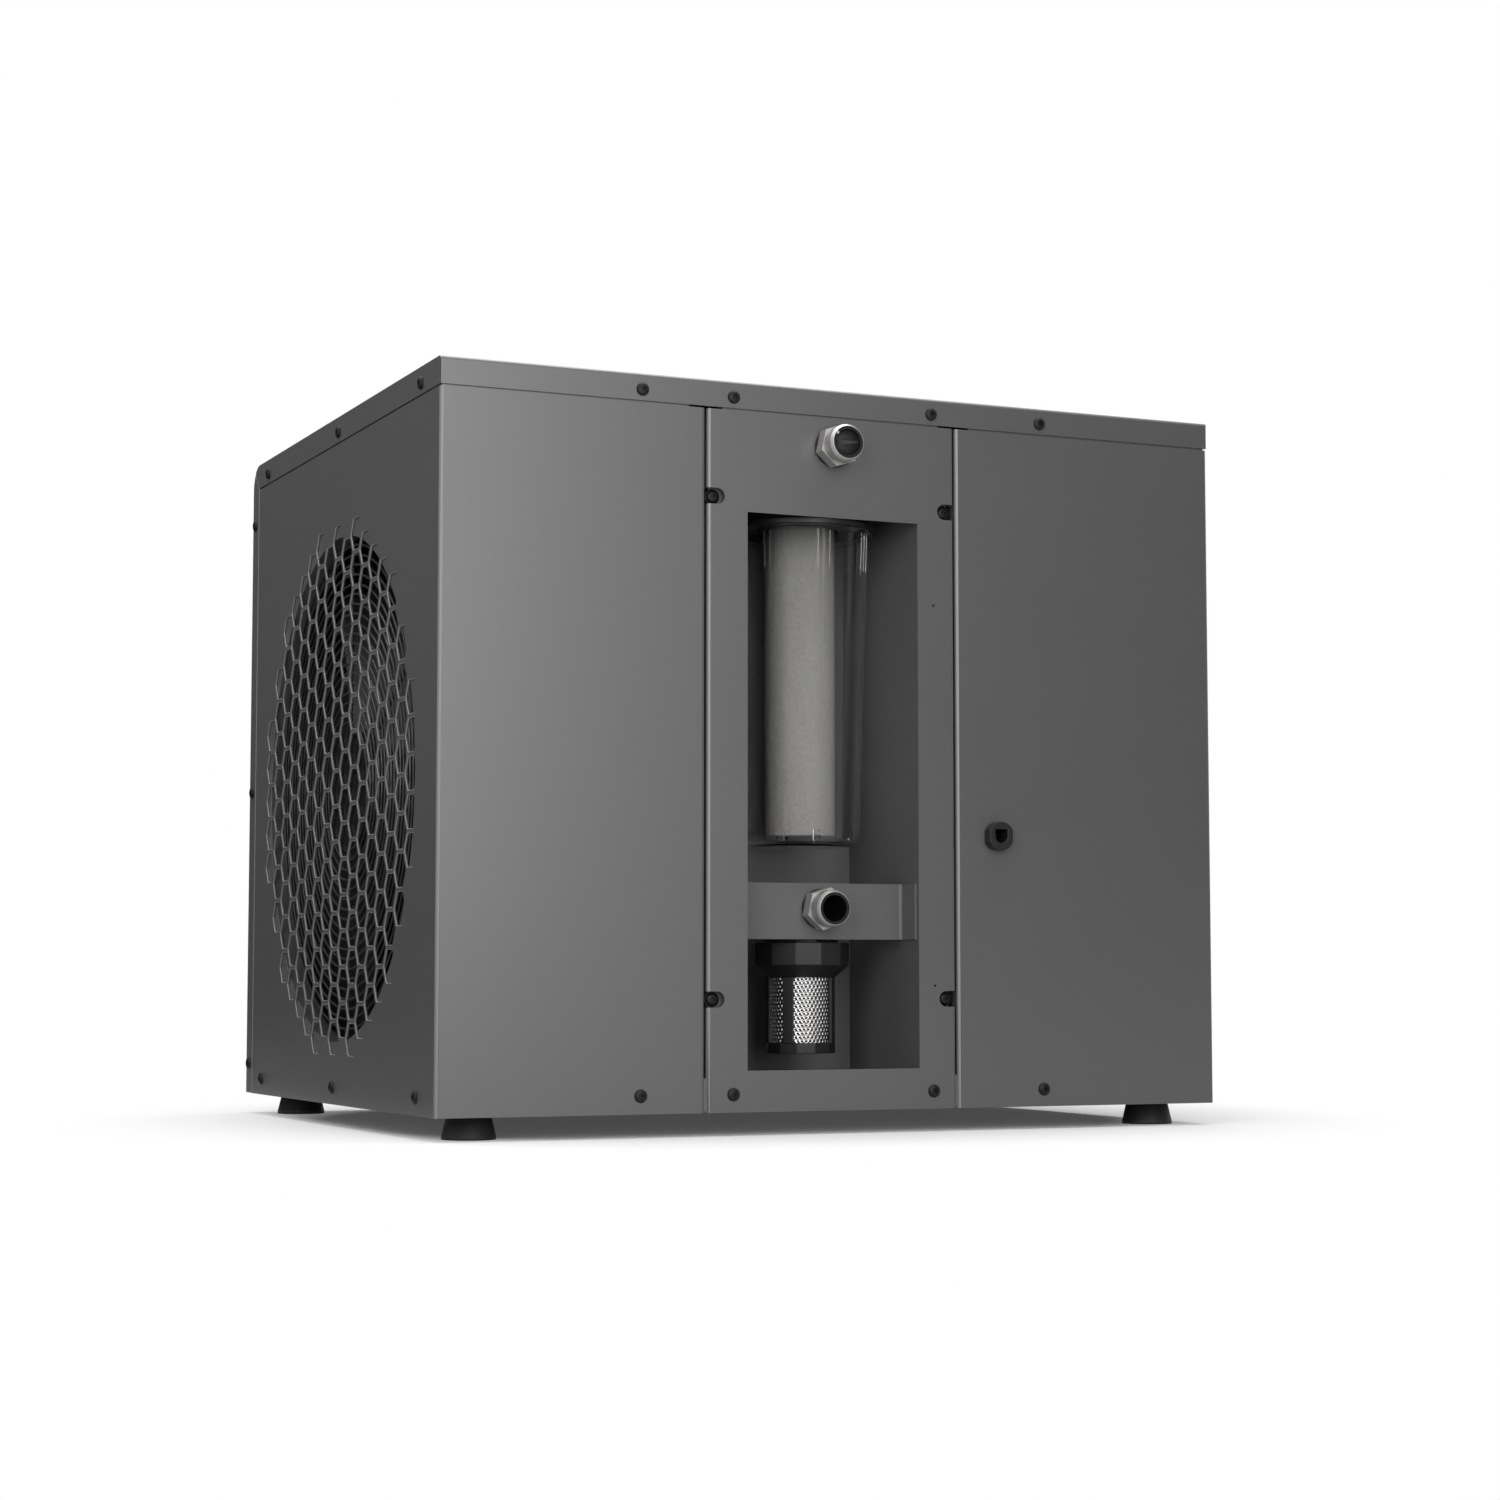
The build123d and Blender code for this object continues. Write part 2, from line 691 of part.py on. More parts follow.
# The fan wheel: a can with cambered blades, each an arched strip run outwards and trimmed to a circle
can_plane = stator_plane.offset(stator_length + fan_running_gap)
can_middle = can_plane.origin + Vector(fan_can_length / 2, 0, 0)
with BuildPart() as fan_wheel:
    for blade in range(fan_blades):
        around = radians(360 / fan_blades * blade)
        outward = Vector(0, cos(around), sin(around))
        onward = Vector(0, -sin(around), cos(around))
        lean = radians(fan_blade_pitch)
        chord_dir = onward * cos(lean) + Vector(sin(lean), 0, 0)
        with BuildSketch(Plane(origin=can_middle, x_dir=chord_dir, z_dir=outward)) as section:
            with BuildLine() as camber:
                ThreePointArc((-fan_blade_chord / 2, 0), (0, fan_blade_camber), (fan_blade_chord / 2, 0))
                offset(amount=fan_blade_thickness, side=Side.LEFT)
            make_face()
        extrude(amount=fan_tip_radius + fan_blade_chord)
    with BuildSketch(can_plane.offset(-fan_blade_chord)):
        Circle(fan_tip_radius)
    extrude(amount=fan_can_length + 2 * fan_blade_chord, mode=Mode.INTERSECT)
    with BuildSketch(can_plane):
        Circle(fan_can_radius)
    extrude(amount=fan_can_length)
    with BuildSketch(can_plane):
        Circle(fan_shaft_radius + running_gap)
    extrude(amount=fan_shaft_length, mode=Mode.SUBTRACT)
save(fan_wheel, "fan_wheel")

# The cable gland, its body cut flat left and right, with its D shaped mouth
with BuildPart() as cable_gland:
    with BuildSketch(Plane.XZ.offset(-front)):
        with Locations(gland_at):
            Circle(gland_radius)
            Rectangle(gland_across, 2 * gland_radius, mode=Mode.INTERSECT)
    extrude(amount=gland_reach)
    with BuildSketch(Plane.XZ.offset(-front)):
        with Locations(gland_at):
            Circle(gland_radius - 2 * sheet - running_gap)
    extrude(amount=-4 * sheet)
    with BuildSketch(Plane.XZ.offset(-front + gland_reach)):
        with Locations(gland_at):
            Circle(gland_mouth / 2)
            Rectangle(gland_mouth, gland_mouth / 2, align=(Align.CENTER, Align.MIN))
    extrude(amount=-(gland_reach + 4 * sheet), mode=Mode.SUBTRACT)
save(cable_gland, "cable_gland")

# The four rubber feet, cones with an upright rim and a sunk screw from below
foot_places = {
    "near_left": (left + foot_inset, front + foot_inset),
    "near_right": (right - foot_inset, front + foot_inset),
    "far_left": (left + foot_inset, rear - foot_inset),
    "far_right": (right - foot_inset, rear - foot_inset),
}
for place, (foot_x, foot_y) in foot_places.items():
    with BuildPart() as foot:
        with BuildSketch(Plane(origin=(foot_x, foot_y, 0), x_dir=(1, 0, 0), z_dir=(0, -1, 0))):
            Polygon(
                (foot_sink_radius, 0),
                (foot_radius, 0),
                (foot_radius, foot_rim),
                (foot_neck_radius, foot_height),
                (0, foot_height),
                (0, foot_sink_depth),
                (foot_sink_radius, foot_sink_depth),
                align=None,
            )
        revolve(axis=Axis((foot_x, foot_y, 0), (0, 0, 1)))
    save(foot, f"{place}_foot")
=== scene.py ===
from math import cos, pi, radians, sin, sqrt

import bmesh
import bpy
from mathutils import Euler, Matrix, Vector


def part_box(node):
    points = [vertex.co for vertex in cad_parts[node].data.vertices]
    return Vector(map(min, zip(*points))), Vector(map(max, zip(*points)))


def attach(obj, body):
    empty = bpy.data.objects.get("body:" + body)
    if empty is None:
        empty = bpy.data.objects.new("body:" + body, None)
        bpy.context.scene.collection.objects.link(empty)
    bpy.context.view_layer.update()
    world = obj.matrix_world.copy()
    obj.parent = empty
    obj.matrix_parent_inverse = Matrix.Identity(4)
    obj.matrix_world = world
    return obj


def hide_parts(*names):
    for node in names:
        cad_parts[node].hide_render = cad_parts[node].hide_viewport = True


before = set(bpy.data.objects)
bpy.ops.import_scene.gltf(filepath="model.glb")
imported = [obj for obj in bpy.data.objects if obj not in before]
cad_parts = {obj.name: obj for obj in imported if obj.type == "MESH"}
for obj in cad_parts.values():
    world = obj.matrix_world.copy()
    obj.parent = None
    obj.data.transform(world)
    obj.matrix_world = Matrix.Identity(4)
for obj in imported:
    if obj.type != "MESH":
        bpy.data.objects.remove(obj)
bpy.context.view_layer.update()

bl_info = {
    "name": "Water heat pump dresser",
    "version": (1, 0, 0),
    "blender": (4, 5, 0),
    "location": "View3D > Sidebar > Heat Pump",
    "description": "Dresses the packed heat pump with screws, rounded edges, paint, metal and clear plastic",
    "category": "Object",
}

MM = 0.001


def middle(node):
    """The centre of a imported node's box."""
    low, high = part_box(node)
    return (low + high) / 2


# Where the case's walls are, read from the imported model
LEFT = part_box("left_panel")[0].x
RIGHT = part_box("right_panel")[1].x
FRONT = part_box("left_panel")[0].y
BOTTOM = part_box("left_panel")[0].z

# How strong the painted highlight is on the upright near corners, where 1 is the whole of the pale highlight
# colour
CORNER_HIGHLIGHT = 0.45


class HeatPumpSizes(bpy.types.PropertyGroup):
    """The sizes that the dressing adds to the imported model."""

    sheet_round: bpy.props.FloatProperty(
        name="Sheet edge radius", description="Rounding of the painted sheet's cut edges",
        default=0.35 * MM, unit="LENGTH")
    border_round: bpy.props.FloatProperty(
        name="Panel edge radius", description="Rounding of the panels' edges",
        default=0.6 * MM, unit="LENGTH")
    cell_round: bpy.props.FloatProperty(
        name="Grille edge radius", description="Rounding of the edges of the grille's hexagons",
        default=0.5 * MM, unit="LENGTH")
    screw_radius: bpy.props.FloatProperty(
        name="Screw head radius", description="Radius of the button heads on the case",
        default=4.65 * MM, unit="LENGTH")
    screw_height: bpy.props.FloatProperty(
        name="Screw head height", description="How far a button head stands off the sheet",
        default=2.2 * MM, unit="LENGTH")
    socket_across: bpy.props.FloatProperty(
        name="Socket size", description="Hexagon socket of the button heads, across its flats",
        default=3.0 * MM, unit="LENGTH")
    socket_depth: bpy.props.FloatProperty(
        name="Socket depth", description="Depth of the hexagon socket",
        default=1.3 * MM, unit="LENGTH")
    wire_radius: bpy.props.FloatProperty(
        name="Guard wire radius", description="Radius of the fan guard's round wire",
        default=0.9 * MM, unit="LENGTH")
    wire_pitch: bpy.props.FloatProperty(
        name="Guard wire pitch", description="From one turn of the guard's spiral wire to the next",
        default=7.29 * MM, unit="LENGTH")
    hub_radius: bpy.props.FloatProperty(
        name="Hub plate radius", description="Radius of the glossy plate in the middle of the guard",
        default=46.0 * MM, unit="LENGTH")
    foot_teeth: bpy.props.IntProperty(
        name="Foot teeth", description="Teeth round the lower rim of each rubber foot", default=50)
    tooth_depth: bpy.props.FloatProperty(
        name="Tooth depth", description="Depth of the teeth round each rubber foot",
        default=0.6 * MM, unit="LENGTH")
    bowl_top: bpy.props.FloatProperty(
        name="Bowl radius at the top", description="Outer radius of the clear bowl at its open end",
        default=50.8 * MM, unit="LENGTH")
    bowl_foot: bpy.props.FloatProperty(
        name="Bowl radius at the foot", description="Outer radius of the clear bowl at its closed end",
        default=43.3 * MM, unit="LENGTH")
    bowl_wall: bpy.props.FloatProperty(
        name="Bowl wall", description="Thickness of the clear bowl", default=3.0 * MM, unit="LENGTH")
    mesh_pitch: bpy.props.FloatProperty(
        name="Strainer pitch", description="Height from one row of strainer holes to the next",
        default=2.73 * MM, unit="LENGTH")
    mesh_hole: bpy.props.FloatProperty(
        name="Strainer hole radius", description="Radius of the holes in the strainer's sheet",
        default=0.72 * MM, unit="LENGTH")


class HeatPumpColours(bpy.types.PropertyGroup):
    """The colours of the finishes."""

    case: bpy.props.FloatVectorProperty(
        name="Case paint", description="Grey powder coat of the case", subtype="COLOR",
        size=3, min=0, max=1, default=(0.090, 0.090, 0.091))
    # Pale colour of the painted highlight on the case's marked edges and near corners
    painted_light: bpy.props.FloatVectorProperty(
        name="Painted edge highlight", description="Colour of the painted highlights along the rounded edges",
        subtype="COLOR", size=3, min=0, max=1, default=(0.26, 0.26, 0.26))
    bay: bpy.props.FloatVectorProperty(
        name="Bay paint", description="Grey powder coat of the filter bay", subtype="COLOR",
        size=3, min=0, max=1, default=(0.110, 0.110, 0.111))
    steel: bpy.props.FloatVectorProperty(
        name="Fitting metal", description="Satin nickel of the water fittings", subtype="COLOR",
        size=3, min=0, max=1, default=(0.40, 0.396, 0.388))
    mesh: bpy.props.FloatVectorProperty(
        name="Strainer metal", description="Stainless sheet of the strainer", subtype="COLOR",
        size=3, min=0, max=1, default=(0.56, 0.555, 0.545))
    rubber: bpy.props.FloatVectorProperty(
        name="Rubber", description="Black rubber of the feet and seals", subtype="COLOR",
        size=3, min=0, max=1, default=(0.012, 0.012, 0.012))
    plastic: bpy.props.FloatVectorProperty(
        name="Black plastic", description="Black moulded plastic of the filter and strainer",
        subtype="COLOR", size=3, min=0, max=1, default=(0.011, 0.011, 0.012))
    clear: bpy.props.FloatVectorProperty(
        name="Clear plastic", description="Tint of the clear filter bowl", subtype="COLOR",
        size=3, min=0, max=1, default=(0.95, 0.95, 0.95))
    cartridge: bpy.props.FloatVectorProperty(
        name="Cartridge", description="Spun fibre of the filter cartridge", subtype="COLOR",
        size=3, min=0, max=1, default=(0.155, 0.153, 0.148))
    wire: bpy.props.FloatVectorProperty(
        name="Guard wire", description="Dark coat of the fan guard", subtype="COLOR",
        size=3, min=0, max=1, default=(0.030, 0.030, 0.030))


class HeatPumpStage(bpy.types.PropertyGroup):
    """The lamps and the floor."""

    front: bpy.props.FloatProperty(
        name="Front lamp", description="Power of the tall lamp before the front, in watts", default=17.3)
    rim: bpy.props.FloatProperty(
        name="Rim lamp", description="Power of the lamp behind the fan side, in watts", default=8.5)
    high: bpy.props.FloatProperty(
        name="High lamp", description="Power of the lamp high over the fan side, in watts", default=6.5)
    left: bpy.props.FloatProperty(
        name="Left lamp", description="Power of the lamp before the near corner, in watts", default=15.0)
    overhead: bpy.props.FloatProperty(
        name="Top lamp", description="Power of the lamp over the case, in watts", default=50.0)
    ambient: bpy.props.FloatProperty(
        name="Ambient", description="Strength of the soft light from all round", default=0.05)


# Helpers for meshes


def sizes():
    """The sizes that the panel shows."""
    return bpy.context.scene.heat_pump_sizes


def colours():
    """The colours that the panel shows."""
    return bpy.context.scene.heat_pump_colours


def finish_piece(name, shape, material, stands_for=(), sharp=40.0, weighted=True):
    """Turn a bmesh into a piece that rides on the machine, with its finish and what it stands for."""
    mesh = bpy.data.meshes.new(name)
    shape.to_mesh(mesh)
    shape.free()
    mesh.shade_smooth()
    mesh.set_sharp_from_angle(angle=radians(sharp))
    piece = bpy.data.objects.new(name, mesh)
    bpy.context.scene.collection.objects.link(piece)
    mesh.materials.append(material)
    if weighted:
        shading = piece.modifiers.new("Weighted normals", "WEIGHTED_NORMAL")
        shading.keep_sharp = True
    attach(piece, "root")
    if stands_for:
        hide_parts(*stands_for)
    return piece


def frame_at(origin, outward):
    """A matrix whose Z runs along outward from origin."""
    turn = Vector(outward).to_track_quat("Z", "Y").to_matrix().to_4x4()
    return Matrix.Translation(Vector(origin)) @ turn


def lathe(shape, profile, steps):
    """Spin a profile of (radius, height) points round the Z axis and add it to the shape."""
    chain = [shape.verts.new((radius, 0, height)) for radius, height in profile]
    edges = [shape.edges.new(pair) for pair in zip(chain, chain[1:])]
    bmesh.ops.spin(shape, geom=chain + edges, cent=(0, 0, 0), axis=(0, 0, 1), dvec=(0, 0, 0),
                   angle=2 * pi, steps=steps, use_merge=True)


def close_up(shape):
    """Merge doubled points and turn every face outwards."""
    bmesh.ops.remove_doubles(shape, verts=shape.verts, dist=1e-6)
    bmesh.ops.recalc_face_normals(shape, faces=shape.faces)


def turned(profile, origin, outward, steps):
    """A bmesh of a profile turned about the line from origin along outward."""
    shape = bmesh.new()
    lathe(shape, profile, steps)
    close_up(shape)
    bmesh.ops.transform(shape, matrix=frame_at(origin, outward), verts=shape.verts)
    return shape


def merged(node):
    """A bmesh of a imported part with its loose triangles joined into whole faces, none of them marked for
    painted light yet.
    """
    shape = bmesh.new()
    shape.from_mesh(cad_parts[node].data)
    # A face mask for painted light: a painted highlight on edges, painted shade in bores
    shape.faces.layers.float.new("painted_light")
    bmesh.ops.remove_doubles(shape, verts=shape.verts, dist=2e-6)
    bmesh.ops.dissolve_limit(shape, angle_limit=radians(0.5), verts=shape.verts, edges=shape.edges)
    return shape


def round_edges(shape, edges, radius):
    """Round the edges with two facets, and give back the facets."""
    return bmesh.ops.bevel(shape, geom=edges, offset=radius, offset_type="OFFSET", segments=2, profile=0.5,
                           affect="EDGES", clamp_overlap=True, loop_slide=False, material=-1)["faces"]


def corners(shape, corner):
    """The edges of a shape where its faces turn by more than the corner angle."""
    return [e for e in shape.edges if len(e.link_faces) == 2 and e.calc_face_angle(0) > radians(corner)]


def rounded_sheet(node, name, material, radius, corner=35.0):
    """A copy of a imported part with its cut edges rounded, standing for that part."""
    shape = merged(node)
    round_edges(shape, corners(shape, corner), radius)
    return finish_piece(name, shape, material, (node,), sharp=50.0)


def on_near_corner(normal):
    """Whether a face with this normal lies on an upright edge between the front and the fan side."""
    slant, upright = 0.2, 0.1
    return normal.x < -slant and normal.y < -slant and abs(normal.z) < upright


def pale_borders(edges):
    """Where a case sheet's left or forward border and its upper border run.

    Each row holds the axis across the sheet and its level, the axis along it, and the two borders' places.
    """
    near = 0.1 * MM
    borders = []
    for side, level, along in ((1, FRONT, 0), (0, LEFT, 1), (0, RIGHT, 1)):
        flat = [e for e in edges if all(abs(v.co[side] - level) < near for v in e.verts)]
        points = [v.co for e in flat for v in e.verts]
        if points:
            start = min(point[along] for point in points)
            top = max(point.z for point in points)
            borders.append((side, level, along, start, top))
    return borders


def case_sheet(node, cells=None):
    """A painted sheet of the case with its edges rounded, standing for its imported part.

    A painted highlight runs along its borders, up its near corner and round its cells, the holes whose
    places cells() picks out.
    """
    reach = sizes().border_round
    shape = merged(node)
    # Faces marked here get the painted highlight
    highlight_shade_mask = shape.faces.layers.float["painted_light"]
    edges = [e for e in corners(shape, 35.0) if e.calc_length() > reach]
    borders = pale_borders(edges)
    rims = [e for e in edges if cells and cells((e.verts[0].co + e.verts[1].co) / 2)]
    if rims:
        for face in round_edges(shape, rims, sizes().cell_round):
            face[highlight_shade_mask] = 1.0
    plain = [e for e in edges if e.is_valid and e not in rims]
    for face in round_edges(shape, plain, reach):
        place = face.calc_center_median()
        for side, level, along, start, top in borders:
            at_border = place[along] < start + reach or place.z > top - reach
            if at_border and abs(place[side] - level) < reach:
                face[highlight_shade_mask] = 1.0
    # Upright near corners get a weaker painted highlight
    for face in shape.faces:
        if on_near_corner(face.normal) and not face[highlight_shade_mask]:
            face[highlight_shade_mask] = CORNER_HIGHLIGHT
    return finish_piece(f"{node}_sheet", shape, case_paint(), (node,), sharp=50.0)


def smooth_copy(node, name, material, sharp=35.0):
    """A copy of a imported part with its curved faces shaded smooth, standing for that part."""
    shape = bmesh.new()
    shape.from_mesh(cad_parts[node].data)
    bmesh.ops.remove_doubles(shape, verts=shape.verts, dist=2e-6)
    return finish_piece(name, shape, material, (node,), sharp=sharp, weighted=False)


# Helpers for finishes


def shader_group(name, inputs, outputs):
    """An empty shader node group with named sockets."""
    group = bpy.data.node_groups.new(name, "ShaderNodeTree")
    for label, kind, value in inputs:
        socket = group.interface.new_socket(name=label, in_out="INPUT", socket_type=kind)
        if value is not None:
            socket.default_value = value
    for label, kind in outputs:
        group.interface.new_socket(name=label, in_out="OUTPUT", socket_type=kind)
    return group, group.nodes.new("NodeGroupInput"), group.nodes.new("NodeGroupOutput")


def grain_group():
    """Fine grain of a powder coat or a moulding: flecks in the colour, a varied gloss and a height."""
    if "Surface grain" in bpy.data.node_groups:
        return bpy.data.node_groups["Surface grain"]
    group, start, end = shader_group(
        "Surface grain",
        [("Vector", "NodeSocketVector", None), ("Colour", "NodeSocketColor", (0.5, 0.5, 0.5, 1)),
         ("Painted light colour", "NodeSocketColor", (0.5, 0.5, 0.5, 1)),
         ("Grain size", "NodeSocketFloat", 900.0), ("Fleck", "NodeSocketFloat", 0.1),
         ("Roughness", "NodeSocketFloat", 0.5), ("Gloss variation", "NodeSocketFloat", 0.08)],
        [("Colour", "NodeSocketColor"), ("Roughness", "NodeSocketFloat"), ("Height", "NodeSocketFloat")])
    nodes, links = group.nodes, group.links
    fine = nodes.new("ShaderNodeTexNoise")
    fine.inputs["Detail"].default_value = 2.0
    cloud = nodes.new("ShaderNodeTexNoise")
    cloud.inputs["Scale"].default_value = 14.0
    links.new(start.outputs["Vector"], fine.inputs["Vector"])
    links.new(start.outputs["Vector"], cloud.inputs["Vector"])
    links.new(start.outputs["Grain size"], fine.inputs["Scale"])
    centred = nodes.new("ShaderNodeMath")
    centred.operation = "SUBTRACT"
    centred.inputs[1].default_value = 0.5
    links.new(fine.outputs["Fac"], centred.inputs[0])
    scaled = nodes.new("ShaderNodeMath")
    scaled.operation = "MULTIPLY"
    links.new(centred.outputs[0], scaled.inputs[0])
    links.new(start.outputs["Fleck"], scaled.inputs[1])
    factor = nodes.new("ShaderNodeMath")
    factor.operation = "ADD"
    factor.inputs[1].default_value = 1.0
    links.new(scaled.outputs[0], factor.inputs[0])
    # The marked faces take the second colour, a painted highlight or painted shade, in place of the paint
    highlight_shade_mask = nodes.new("ShaderNodeAttribute")
    highlight_shade_mask.attribute_name = "painted_light"
    # Inputs 6 and 7 of a colour mix are its two colours, and output 2 is the mixed one
    coat = nodes.new("ShaderNodeMix")
    coat.data_type = "RGBA"
    links.new(highlight_shade_mask.outputs["Fac"], coat.inputs[0])
    links.new(start.outputs["Colour"], coat.inputs[6])
    links.new(start.outputs["Painted light colour"], coat.inputs[7])
    tinted = nodes.new("ShaderNodeVectorMath")
    tinted.operation = "SCALE"
    links.new(coat.outputs[2], tinted.inputs[0])
    links.new(factor.outputs[0], tinted.inputs["Scale"])
    links.new(tinted.outputs[0], end.inputs["Colour"])
    spread = nodes.new("ShaderNodeMath")
    spread.operation = "SUBTRACT"
    spread.inputs[1].default_value = 0.5
    links.new(cloud.outputs["Fac"], spread.inputs[0])
    gloss = nodes.new("ShaderNodeMath")
    gloss.operation = "MULTIPLY_ADD"
    links.new(spread.outputs[0], gloss.inputs[0])
    links.new(start.outputs["Gloss variation"], gloss.inputs[1])
    links.new(start.outputs["Roughness"], gloss.inputs[2])
    links.new(gloss.outputs[0], end.inputs["Roughness"])
    links.new(fine.outputs["Fac"], end.inputs["Height"])
    return group


def finish(name):
    """A new material, its nodes, its links and its Principled shader."""
    material = bpy.data.materials.new(name)
    material.use_nodes = True
    tree = material.node_tree
    return material, tree.nodes, tree.links, tree.nodes["Principled BSDF"]


def grained(name, colour, roughness, grains, fleck, bump, variation=0.08, metallic=0.0, shine=0.5,
            painted_light=None):
    """A finish with a fine grain: powder coat, moulded plastic, rubber or satin metal.

    It has about so many grains to the metre, with a relief of bump metres, and the colour for painted
    light, a painted highlight or painted shade, shows on the faces that are marked for it.
    """
    if name in bpy.data.materials:
        return bpy.data.materials[name]
    material, nodes, links, shader = finish(name)
    place = nodes.new("ShaderNodeTexCoord")
    grain = nodes.new("ShaderNodeGroup")
    grain.node_tree = grain_group()
    grain.inputs["Colour"].default_value = (*colour, 1)
    grain.inputs["Painted light colour"].default_value = (*(painted_light or colour), 1)
    grain.inputs["Grain size"].default_value = grains
    grain.inputs["Fleck"].default_value = fleck
    grain.inputs["Roughness"].default_value = roughness
    grain.inputs["Gloss variation"].default_value = variation
    relief = nodes.new("ShaderNodeBump")
    relief.inputs["Distance"].default_value = bump
    relief.inputs["Strength"].default_value = 1.0
    links.new(place.outputs["Object"], grain.inputs["Vector"])
    links.new(grain.outputs["Colour"], shader.inputs["Base Color"])
    links.new(grain.outputs["Roughness"], shader.inputs["Roughness"])
    links.new(grain.outputs["Height"], relief.inputs["Height"])
    links.new(relief.outputs["Normal"], shader.inputs["Normal"])
    shader.inputs["Metallic"].default_value = metallic
    shader.inputs["Specular IOR Level"].default_value = shine
    return material


def case_paint():
    """Half gloss powder coat of the case, with a pale painted highlight on its marked edges."""
    return grained("Grey powder coat", colours().case, roughness=0.32, grains=900.0, fleck=0.22,
                   bump=0.01 * MM, variation=0.04, shine=0.75, painted_light=colours().painted_light)


def bay_paint():
    """Duller powder coat of the filter bay."""
    return grained("Bay powder coat", colours().bay, roughness=0.36, grains=900.0, fleck=0.22,
                   bump=0.01 * MM, variation=0.04, shine=0.4)


def black_plastic():
    """Black moulding of the filter, the strainer and the gland."""
    return grained("Black moulding", colours().plastic, roughness=0.42, grains=1400.0, fleck=0.2,
                   bump=0.01 * MM, shine=0.3)


def rubber():
    """Matt black rubber of the feet and the seals, and the black of the dark cards."""
    return grained("Black rubber", colours().rubber, roughness=0.6, grains=700.0, fleck=0.3, bump=0.03 * MM,
                   shine=0.35)


def screw_black():
    """Blackened steel of the screws, and of the black discs that paint the shade in the notches."""
    return grained("Black screw", (0.006, 0.006, 0.006), roughness=0.42, grains=1500.0, fleck=0.15,
                   bump=0.01 * MM, shine=0.22)


def fitting_metal():
    """Satin nickel, with near black painted shade on the inner walls of the bores."""
    return grained("Satin nickel", colours().steel, roughness=0.40, grains=1500.0, fleck=0.05,
                   bump=0.004 * MM, metallic=0.62, painted_light=(0.010, 0.010, 0.010))


def strainer_metal():
    """Bright stainless sheet."""
    return grained("Stainless sheet", colours().mesh, roughness=0.28, grains=1500.0, fleck=0.05,
                   bump=0.004 * MM, metallic=1.0)


def wire_coat():
    """Dark coat of the guard's wire and of the fan."""
    return grained("Guard coat", colours().wire, roughness=0.38, grains=1500.0, fleck=0.2,
                   bump=0.01 * MM)


def hub_gloss():
    """Glossy black of the hub plate."""
    return grained("Hub gloss", (0.006, 0.006, 0.007), roughness=0.12, grains=1500.0, fleck=0.1, bump=0.0,
                   variation=0.02, shine=0.2)


def cartridge_fibre():
    """Spun fibre: a matt pale surface with a coarse fuzz."""
    if "Spun fibre" in bpy.data.materials:
        return bpy.data.materials["Spun fibre"]
    material, nodes, links, shader = finish("Spun fibre")
    place = nodes.new("ShaderNodeTexCoord")
    fuzz = nodes.new("ShaderNodeTexNoise")
    fuzz.inputs["Scale"].default_value = 500.0
    fuzz.inputs["Detail"].default_value = 4.0
    fuzz.inputs["Roughness"].default_value = 0.7
    shade = nodes.new("ShaderNodeValToRGB")
    tone = colours().cartridge
    darker, lighter = 0.8, 1.15
    shade.color_ramp.elements[0].position = 0.3
    shade.color_ramp.elements[0].color = (*[c * darker for c in tone], 1)
    shade.color_ramp.elements[1].position = 0.7
    shade.color_ramp.elements[1].color = (*[min(1, c * lighter) for c in tone], 1)
    relief = nodes.new("ShaderNodeBump")
    relief.inputs["Distance"].default_value = 0.3 * MM
    links.new(place.outputs["Object"], fuzz.inputs["Vector"])
    links.new(fuzz.outputs["Fac"], shade.inputs["Fac"])
    links.new(shade.outputs["Color"], shader.inputs["Base Color"])
    links.new(fuzz.outputs["Fac"], relief.inputs["Height"])
    links.new(relief.outputs["Normal"], shader.inputs["Normal"])
    shader.inputs["Roughness"].default_value = 0.9
    shader.inputs["Specular IOR Level"].default_value = 0.2
    return material


def clear_plastic():
    """Clear moulded plastic that lets the lamps through to what is inside."""
    if "Clear plastic" in bpy.data.materials:
        return bpy.data.materials["Clear plastic"]
    material, nodes, links, shader = finish("Clear plastic")
    shader.inputs["Base Color"].default_value = (*colours().clear, 1)
    shader.inputs["Roughness"].default_value = 0.03
    shader.inputs["IOR"].default_value = 1.45
    shader.inputs["Transmission Weight"].default_value = 1.0
    shader.inputs["Specular Tint"].default_value = (0.02, 0.02, 0.02, 1)
    path = nodes.new("ShaderNodeLightPath")
    through = nodes.new("ShaderNodeBsdfTransparent")
    through.inputs["Color"].default_value = (0.9, 0.9, 0.9, 1)
    mix = nodes.new("ShaderNodeMixShader")
    links.new(path.outputs["Is Shadow Ray"], mix.inputs[0])
    links.new(shader.outputs[0], mix.inputs[1])
    links.new(through.outputs[0], mix.inputs[2])
    links.new(mix.outputs[0], nodes["Material Output"].inputs["Surface"])
    return material


# The pieces


